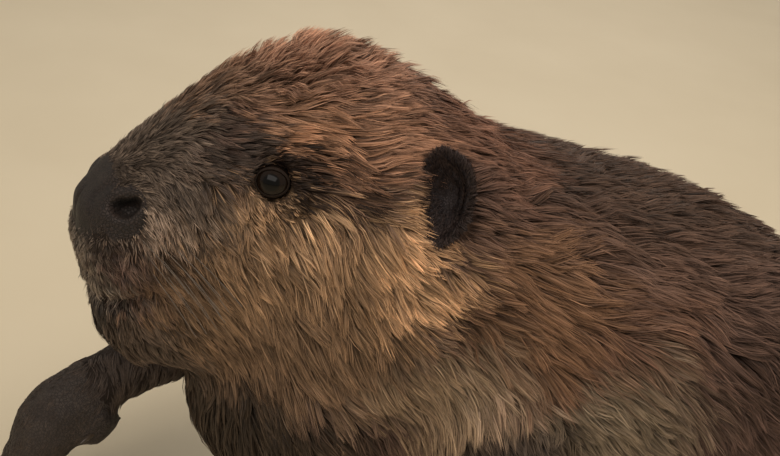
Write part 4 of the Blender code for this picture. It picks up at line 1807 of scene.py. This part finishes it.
@dataclass
class EarFuzz:
    """The very short dark hair that lies over an ear towards its rim."""

    count: int = 6500
    length: float = 3.6 * MM
    width: float = 0.3 * MM
    lift: float = 0.5
    colour: str = "#352B29"
    in_hollow: float = 0.2
    seed: int = 11

    def build(self, coat: Coat, ear: Ear) -> None:
        """Make one ear and grow the fuzz on it.

        Args:
            coat: The coat, which turns blades into a mesh.
            ear: The ear's measures.
        """
        surface = Surface(*mesh_arrays(ear.build()))
        draw = np.random.default_rng(self.seed)
        away = ear.placed(surface.points)[0]
        share = self.in_hollow + (1 - self.in_hollow) * step(0.35, 0.85, away)
        weight = surface.areas * share[surface.faces].mean(1)
        roots, normals, vertex = surface.scatter(weight, self.count, draw)
        _, upward, facing = ear.axes()
        offset = roots - ear.centre()
        heading = unit(offset - facing * (offset @ facing)[:, None]) + upward * 0.4
        heading = heading + draw.normal(0, 0.25, heading.shape)
        heading = unit(heading - normals * (heading * normals).sum(1)[:, None])
        blades = Blades(roots, normals, vertex, np.full(self.count, ear.side))
        reach = self.length * draw.uniform(0.6, 1.2, self.count)
        lines = []
        for share in np.linspace(0, 1, coat.STEPS + 1):
            rise = self.lift * math.sqrt(share) * normals
            lines.append(roots + (heading * share + rise) * reach[:, None] - normals * 0.2 * MM)
        blades.lines = np.stack(lines, 1)
        blades.widths = self.width * draw.uniform(0.7, 1.3, self.count)
        blades.colours = np.tile(rgb(self.colour), (self.count, 1))
        blades.shades = np.clip(draw.normal(0.5, 0.16, self.count), 0, 1)
        name = "coat_ear_" + ear.side
        mesh = coat.mesh(name, blades, np.arange(self.count))
        add_piece(name, mesh, FurBlades().material())


@dataclass(frozen=True)
class Nail:
    """A nail rounded from its claw's solid, with its wide end rooted in the toe."""

    claw: str
    root: float = 4.2 * MM

    def build(self, nodes: dict[str, Object], horn: Material) -> None:
        """Round the solid by subdivision.

        Args:
            nodes: The frame's solids by name.
            horn: The claws' horn.
        """
        mesh = modified(merged_copy(nodes, self.claw), "SUBSURF", {"levels": 1})
        mesh.shade_smooth()
        self.draw_out(mesh)
        add_piece(self.claw.replace("claw", "nail"), mesh, horn, (self.claw,))

    def draw_out(self, mesh: Mesh) -> None:
        """Draw the wide end of the nail out along its length, into the flesh.

        Args:
            mesh: The rounded mesh.
        """
        points = mesh_arrays(mesh)[0]
        offset = points - points.mean(0)
        axis = np.linalg.svd(offset, full_matrices=False)[2][0]
        along = offset @ axis
        girth = np.linalg.norm(offset - along[:, None] * axis, axis=1)
        if girth[along > 0].mean() < girth[along < 0].mean():
            axis, along = -axis, -along
        points += axis * (step(0.2, 0.95, along / along.max()) * self.root)[:, None]
        mesh.vertices.foreach_set("co", points.astype(np.float32).ravel())
        mesh.update()


# ---------------- scales and whiskers


class NodeRecipe:
    """A Geometry Nodes tree with named inputs, run once on a mesh and turned into a plain mesh."""

    SOCKETS = {float: "NodeSocketFloat", int: "NodeSocketInt",
               Material: "NodeSocketMaterial"}

    def __init__(self, name: str, inputs: dict[str, float | int | Material]) -> None:
        """Start a tree.

        Args:
            name: The tree's name.
            inputs: The value of each named input.
        """
        self.tree = bpy.data.node_groups.new(name, "GeometryNodeTree")
        face = self.tree.interface
        face.new_socket("Geometry", in_out="INPUT", socket_type="NodeSocketGeometry")
        face.new_socket("Geometry", in_out="OUTPUT", socket_type="NodeSocketGeometry")
        self.values = {}
        for label, value in inputs.items():
            kind = self.SOCKETS[type(value)]
            socket = face.new_socket(label, in_out="INPUT", socket_type=kind)
            self.values[socket.identifier] = value
        self.source = self.tree.nodes.new("NodeGroupInput").outputs
        self.result = self.tree.nodes.new("NodeGroupOutput").inputs

    def add(self, kind: str, settings: dict | None = None) -> Outputs:
        """Add a node and give its outputs."""
        return add_node(self.tree, kind, settings).outputs

    def math(self, sums: list[tuple]) -> NodeSocket:
        """Work out a chain of sums.

        Args:
            sums: The operation, and its two terms; None stands for the result so far.

        Returns:
            The last result.
        """
        result = None
        for operation, *terms in sums:
            first, second = (result if term is None else term for term in terms)
            result = self.add("ShaderNodeMath", {
                "operation": operation, 0: first, 1: second})["Value"]
        return result

    def scattered(self, parts: dict, material: NodeSocket,
                  finish: Callable | None = None) -> None:
        """End the tree with instances made real and dressed.

        Args:
            parts: What goes into the node that sets the instances on points.
            material: The input with the material.
            finish: What turns the real instances into the last mesh, where it isn't they.
        """
        laid = self.add("GeometryNodeInstanceOnPoints", parts)
        real = self.add("GeometryNodeRealizeInstances", {"Geometry": laid["Instances"]})["Geometry"]
        last = finish(real) if finish else real
        done = self.add("GeometryNodeSetMaterial", {"Geometry": last, "Material": material})
        self.tree.links.new(done["Geometry"], self.result["Geometry"])

    def run(self, mesh: Mesh) -> Mesh:
        """Apply the finished tree to a mesh, and give the result as a plain mesh."""
        return modified(mesh, "NODES", {"node_group": self.tree, **self.values})


@dataclass(frozen=True)
class TailScales:
    """The horny scales on the upper side of the tail, in staggered rows across it."""

    row_spacing: float = 3.7 * MM
    column_spacing: float = 5.6 * MM
    half_length: float = 2.35 * MM
    half_width: float = 3.0 * MM
    thickness: float = 1.1 * MM
    top_share: float = 0.72
    least_upright: float = 0.35
    drop_height: float = 0.2
    bare_root: float = 0.012

    def surface(self, skin: Skin) -> Mesh:
        """Copy the upper side of the tail from the skin, short of its furred root."""
        faces = skin.surface.faces
        on_tail = (skin.labels[faces] == FLESH.index("tail")).all(1)
        root = skin.surface.points[faces[on_tail], 1].min() + self.bare_root
        behind = skin.surface.points[faces, 1].min(1) > root
        chosen, numbers = np.unique(faces[on_tail & behind], return_inverse=True)
        return new_mesh("tail_top", skin.surface.points[chosen], numbers.reshape(-1, 3))

    def build(self, skin: Skin) -> None:
        """Lay the scales on the tail.

        Args:
            skin: The finished skin.
        """
        mesh = self.surface(skin)
        low, high = (np.array(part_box("tail")[i]) for i in (0, 1))
        length, width = high[1] - low[1], high[0] - low[0]
        recipe = NodeRecipe("scales_in_rows", {
            "Row spacing": self.row_spacing,
            "Column spacing": self.column_spacing,
            "Half length": self.half_length,
            "Half width": self.half_width,
            "Thickness": self.thickness,
            "Least upright": self.least_upright,
            "Seed": 3,
            "Horn": TAIL_SCALE.material(),
        })
        given = recipe.source
        grid = recipe.add("GeometryNodeMeshGrid", {
            "Size X": width, "Size Y": length,
            "Vertices X": int(width / self.column_spacing),
            "Vertices Y": int(length / self.row_spacing)})
        place = recipe.add("GeometryNodeInputPosition")["Position"]
        parts = recipe.add("ShaderNodeSeparateXYZ", {0: place})
        half_column = recipe.math([("MULTIPLY", given["Column spacing"], 0.5)])
        stagger = recipe.math([
            ("DIVIDE", parts["Y"], given["Row spacing"]), ("ROUND", None, 0.0),
            ("FLOORED_MODULO", None, 2.0), ("MULTIPLY", None, half_column)])
        shift = recipe.add("ShaderNodeCombineXYZ", {"X": stagger})["Vector"]
        middle = tuple((low + high) / 2)
        moved = recipe.add("ShaderNodeVectorMath", {
            "operation": "ADD", 0: shift, 1: (middle[0], middle[1], self.drop_height)})["Vector"]
        points = recipe.add("GeometryNodeSetPosition", {"Geometry": grid["Mesh"], "Offset": moved})
        hit = recipe.add("GeometryNodeRaycast", {
            "data_type": "FLOAT", "Ray Direction": (0.0, 0.0, -1.0),
            "Target Geometry": given["Geometry"],
            "Source Position": recipe.add("GeometryNodeInputPosition")["Position"]})
        upright = recipe.add("ShaderNodeSeparateXYZ", {0: hit["Hit Normal"]})["Z"]
        kept = recipe.math([("GREATER_THAN", upright, given["Least upright"]),
                            ("MULTIPLY", hit["Is Hit"], None)])
        landed = recipe.add("GeometryNodeSetPosition", {
            "Geometry": points["Geometry"], "Position": hit["Hit Position"]})
        scale = recipe.add("GeometryNodeMeshCone", {
            "Vertices": 6, "Radius Top": self.top_share, "Radius Bottom": 1.0, "Depth": 1.0})
        turn = recipe.add("FunctionNodeAxesToRotation", {
            "primary_axis": "Z", "secondary_axis": "Y", "Secondary Axis": (0.0, 1.0, 0.0),
            "Primary Axis": hit["Hit Normal"]})
        worn = recipe.add("FunctionNodeRandomValue", {2: 0.9, 3: 1.08, "Seed": given["Seed"]})
        sizes = recipe.add("ShaderNodeCombineXYZ", {
            "X": given["Half width"], "Y": given["Half length"], "Z": given["Thickness"]})
        size = recipe.add("ShaderNodeVectorMath", {
            "operation": "SCALE", 0: sizes["Vector"], "Scale": worn[1]})
        recipe.scattered({
            "Points": landed["Geometry"], "Selection": kept, "Instance": scale["Mesh"],
            "Rotation": turn["Rotation"], "Scale": size["Vector"]}, given["Horn"])
        add_piece("tail_scales", recipe.run(mesh))


@dataclass(frozen=True)
class Whiskers:
    """The stout bristles on the side of the muzzle, in rows behind the nostril."""

    rows: int = 3
    each: int = 4
    first: Triple = (30.0, -52.0, -28.0)
    along_row: Triple = (2.6, 5.5, -0.6)
    next_row: Triple = (0.2, 2.0, -6.5)
    shortest: float = 22 * MM
    longest: float = 40 * MM
    thickness: float = 0.17 * MM

    def roots(self, skin: Skin, head: HeadFrame) -> Mesh:
        """Set the roots on the skin of both sides, each with its direction.

        Args:
            skin: The finished skin.
            head: The head's own frame.

        Returns:
            A mesh of single points with the attribute "heading".
        """
        surface = skin.surface
        tree = bvhtree.BVHTree.FromPolygons(surface.points.tolist(), surface.faces.tolist())
        places, headings = [], []
        for side in (1.0, -1.0):
            for row in range(self.rows):
                for number in range(self.each):
                    spot = (np.array(self.first) + np.array(self.along_row) * number
                            + np.array(self.next_row) * row)
                    spot[0] *= side
                    place, normal = tree.find_nearest(Vector(head.world(spot)))[:2]
                    sweep = head.direction((0.35 * side, 0.75, -0.45 - 0.12 * row))
                    places.append(np.array(place) - np.array(normal) * MM)
                    headings.append(unit(np.array(normal) * 0.55 + sweep))
        mesh = bpy.data.meshes.new("whisker_roots")
        mesh.from_pydata(places, [], [])
        layer = mesh.attributes.new("heading", "FLOAT_VECTOR", "POINT")
        layer.data.foreach_set("vector", np.array(headings, np.float32).ravel())
        return mesh

    def build(self, skin: Skin, head: HeadFrame) -> None:
        """Grow the whiskers as tapered, drooping bristles.

        Args:
            skin: The finished skin.
            head: The head's own frame.
        """
        recipe = NodeRecipe("whiskers_on_roots", {
            "Thickness": self.thickness,
            "Shortest": self.shortest,
            "Longest": self.longest,
            "Seed": 5,
            "Bristle": WHISKER_BRISTLE.material(),
        })
        given = recipe.source
        arc = recipe.add("GeometryNodeCurveQuadraticBezier", {
            "Resolution": 8, "Start": (0.0, 0.0, 0.0), "Middle": (0.0, 0.0, 0.55),
            "End": (0.0, 0.16, 1.0)})
        heading = recipe.add("GeometryNodeInputNamedAttribute", {
            "data_type": "FLOAT_VECTOR", "Name": "heading"})
        turn = recipe.add("FunctionNodeAxesToRotation", {
            "primary_axis": "Z", "secondary_axis": "Y", "Secondary Axis": (0.0, 0.4, -1.0),
            "Primary Axis": heading[0]})
        share = recipe.add("FunctionNodeRandomValue", {2: 0.0, 3: 1.0, "Seed": given["Seed"]})[1]
        length = recipe.math([
            ("SUBTRACT", given["Longest"], given["Shortest"]), ("MULTIPLY", None, share),
            ("ADD", given["Shortest"], None)])

        def tubes(lines: NodeSocket) -> NodeSocket:
            """Turn the lines into tapered tubes."""
            along = recipe.add("GeometryNodeSplineParameter")["Factor"]
            taper = recipe.math([("MULTIPLY", along, 0.85), ("SUBTRACT", 1.0, None)])
            thinned = recipe.add("GeometryNodeSetCurveRadius", {"Curve": lines, "Radius": taper})
            ring = recipe.add("GeometryNodeCurvePrimitiveCircle", {
                "Resolution": 5, "Radius": given["Thickness"]})
            drawn = recipe.add("GeometryNodeCurveToMesh", {
                "Fill Caps": True, "Curve": thinned["Curve"], "Profile Curve": ring["Curve"]})
            return drawn["Mesh"]

        recipe.scattered({
            "Points": given["Geometry"], "Instance": arc["Curve"], "Rotation": turn["Rotation"],
            "Scale": length}, given["Bristle"], tubes)
        add_piece("whiskers", recipe.run(self.roots(skin, head)))


# ---------------- the stage


@dataclass
class Stage:
    """Camera, floor and soft studio light."""

    frame_width: int = 780
    focal: float = 1100.0
    sensor: float = 36.0
    spot: Triple = (0.4059, -0.4540, 0.4409)
    pitch: float = math.radians(28)
    roll: float = math.radians(10)
    heading: float = math.radians(30)
    floor_size: float = 8.0
    lit: Triple = (0.0, -0.15, 0.12)
    room_strength: float = 0.42

    def camera(self) -> None:
        """Make the camera at its height, with its turn and its field of view."""
        up = np.array([math.sin(self.roll) * math.cos(self.pitch),
                       -math.cos(self.roll) * math.cos(self.pitch), -math.sin(self.pitch)])
        forward = unit(np.array([0, 0, 1.0]) - up * up[2])
        right = unit(np.cross(forward, up))
        right = right if right[0] > 0 else -right
        back = math.cos(self.heading) * right + math.sin(self.heading) * forward
        left = -math.sin(self.heading) * right + math.cos(self.heading) * forward
        turn = np.stack([-left, back, up], 1)
        data = bpy.data.cameras.new("camera")
        data.sensor_width = self.sensor
        data.lens = self.focal / self.frame_width * self.sensor
        data.clip_start = 0.01
        camera = bpy.data.objects.new("camera", data)
        bpy.context.scene.collection.objects.link(camera)
        basis = np.eye(4)
        basis[:3, 0], basis[:3, 1], basis[:3, 2] = turn[0], -turn[1], -turn[2]
        basis[:3, 3] = self.spot
        camera.matrix_world = Matrix(basis.tolist())
        bpy.context.scene.camera = camera

    def floor(self) -> None:
        """Lay the plain pale floor."""
        half = self.floor_size / 2
        points = np.array([(-half, -half, 0), (half, -half, 0), (half, half, 0), (-half, half, 0)])
        floor = new_object("floor", new_mesh("floor", points, np.array([(0, 1, 2, 3)])))
        floor.data.materials.append(PALE_FLOOR.material())

    def lamp(self, name: str, place: Triple, size: tuple[float, float],
             watts: float, tint: str, glossy: bool = True, diffuse: bool = True) -> None:
        """Hang one soft lamp that faces the animal.

        Args:
            name: The lamp's name.
            place: Where it hangs, in metres.
            size: Its two sides in metres.
            watts: Its power.
            tint: Its colour.
            glossy: Whether wet and polished surfaces mirror it.
            diffuse: Whether it lights dull surfaces.
        """
        data = bpy.data.lights.new(name, "AREA")
        data.shape = "RECTANGLE"
        data.size, data.size_y = size
        data.energy = watts
        data.color = linear(tint)[:3]
        lamp = bpy.data.objects.new(name, data)
        lamp.visible_glossy = glossy
        lamp.visible_diffuse = diffuse
        lamp.location = place
        aim = Vector(self.lit) - Vector(place)
        lamp.rotation_euler = aim.to_track_quat("-Z", "Y").to_euler()
        bpy.context.scene.collection.objects.link(lamp)

    def light(self) -> None:
        """Set the lamps and the even light of the room."""
        self.lamp("overhead_lamp", (0.3, 0.1, 1.5), (1.2, 1.2), 16.0, "#FFF3E2", False)
        self.lamp("front_lamp", (1.0, -1.5, 1.3), (0.7, 0.7), 10.0, "#FFF6EA", False)
        self.lamp("far_lamp", (-1.4, 0.6, 1.0), (1.2, 1.2), 6.0, "#FFF4E8")
        self.lamp("eye_light", (0.65, -0.75, 1.48), (2.3, 1.0), 14.0, "#FFF8F0", True, False)
        world = bpy.data.worlds.new("room_light")
        world.use_nodes = True
        back = world.node_tree.nodes["Background"]
        back.inputs["Color"].default_value = linear("#E9E4DA")
        back.inputs["Strength"].default_value = self.room_strength
        bpy.context.scene.world = world
        bpy.context.scene.view_settings.view_transform = "Standard"

    def build(self) -> None:
        """Set the whole stage."""
        self.camera()
        self.floor()
        self.light()


# ---------------- the whole animal


def main() -> None:
    """Build every piece in order and report it."""
    logging.basicConfig(level=logging.INFO, format="%(name)s: %(message)s")
    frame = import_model()
    nodes = frame["nodes"]
    Stage().build()
    head = HeadFrame()
    markings = Markings(head)
    skin = Skin(nodes, head, markings)
    skin.build()
    for side in SIDES:
        eye = Eye(side, head)
        eye.globe()
        eye.lids()
    horn = ClawHorn().material()
    for name in sorted(nodes):
        if "claw" in name:
            Nail(name).build(nodes, horn)
    TailScales().build(skin)
    Whiskers().build(skin, head)
    coat = Coat(skin, head, markings)
    coat.build()
    for side in SIDES:
        EarFuzz().build(coat, Ear(side, head))


if __name__ == "__main__":
    main()
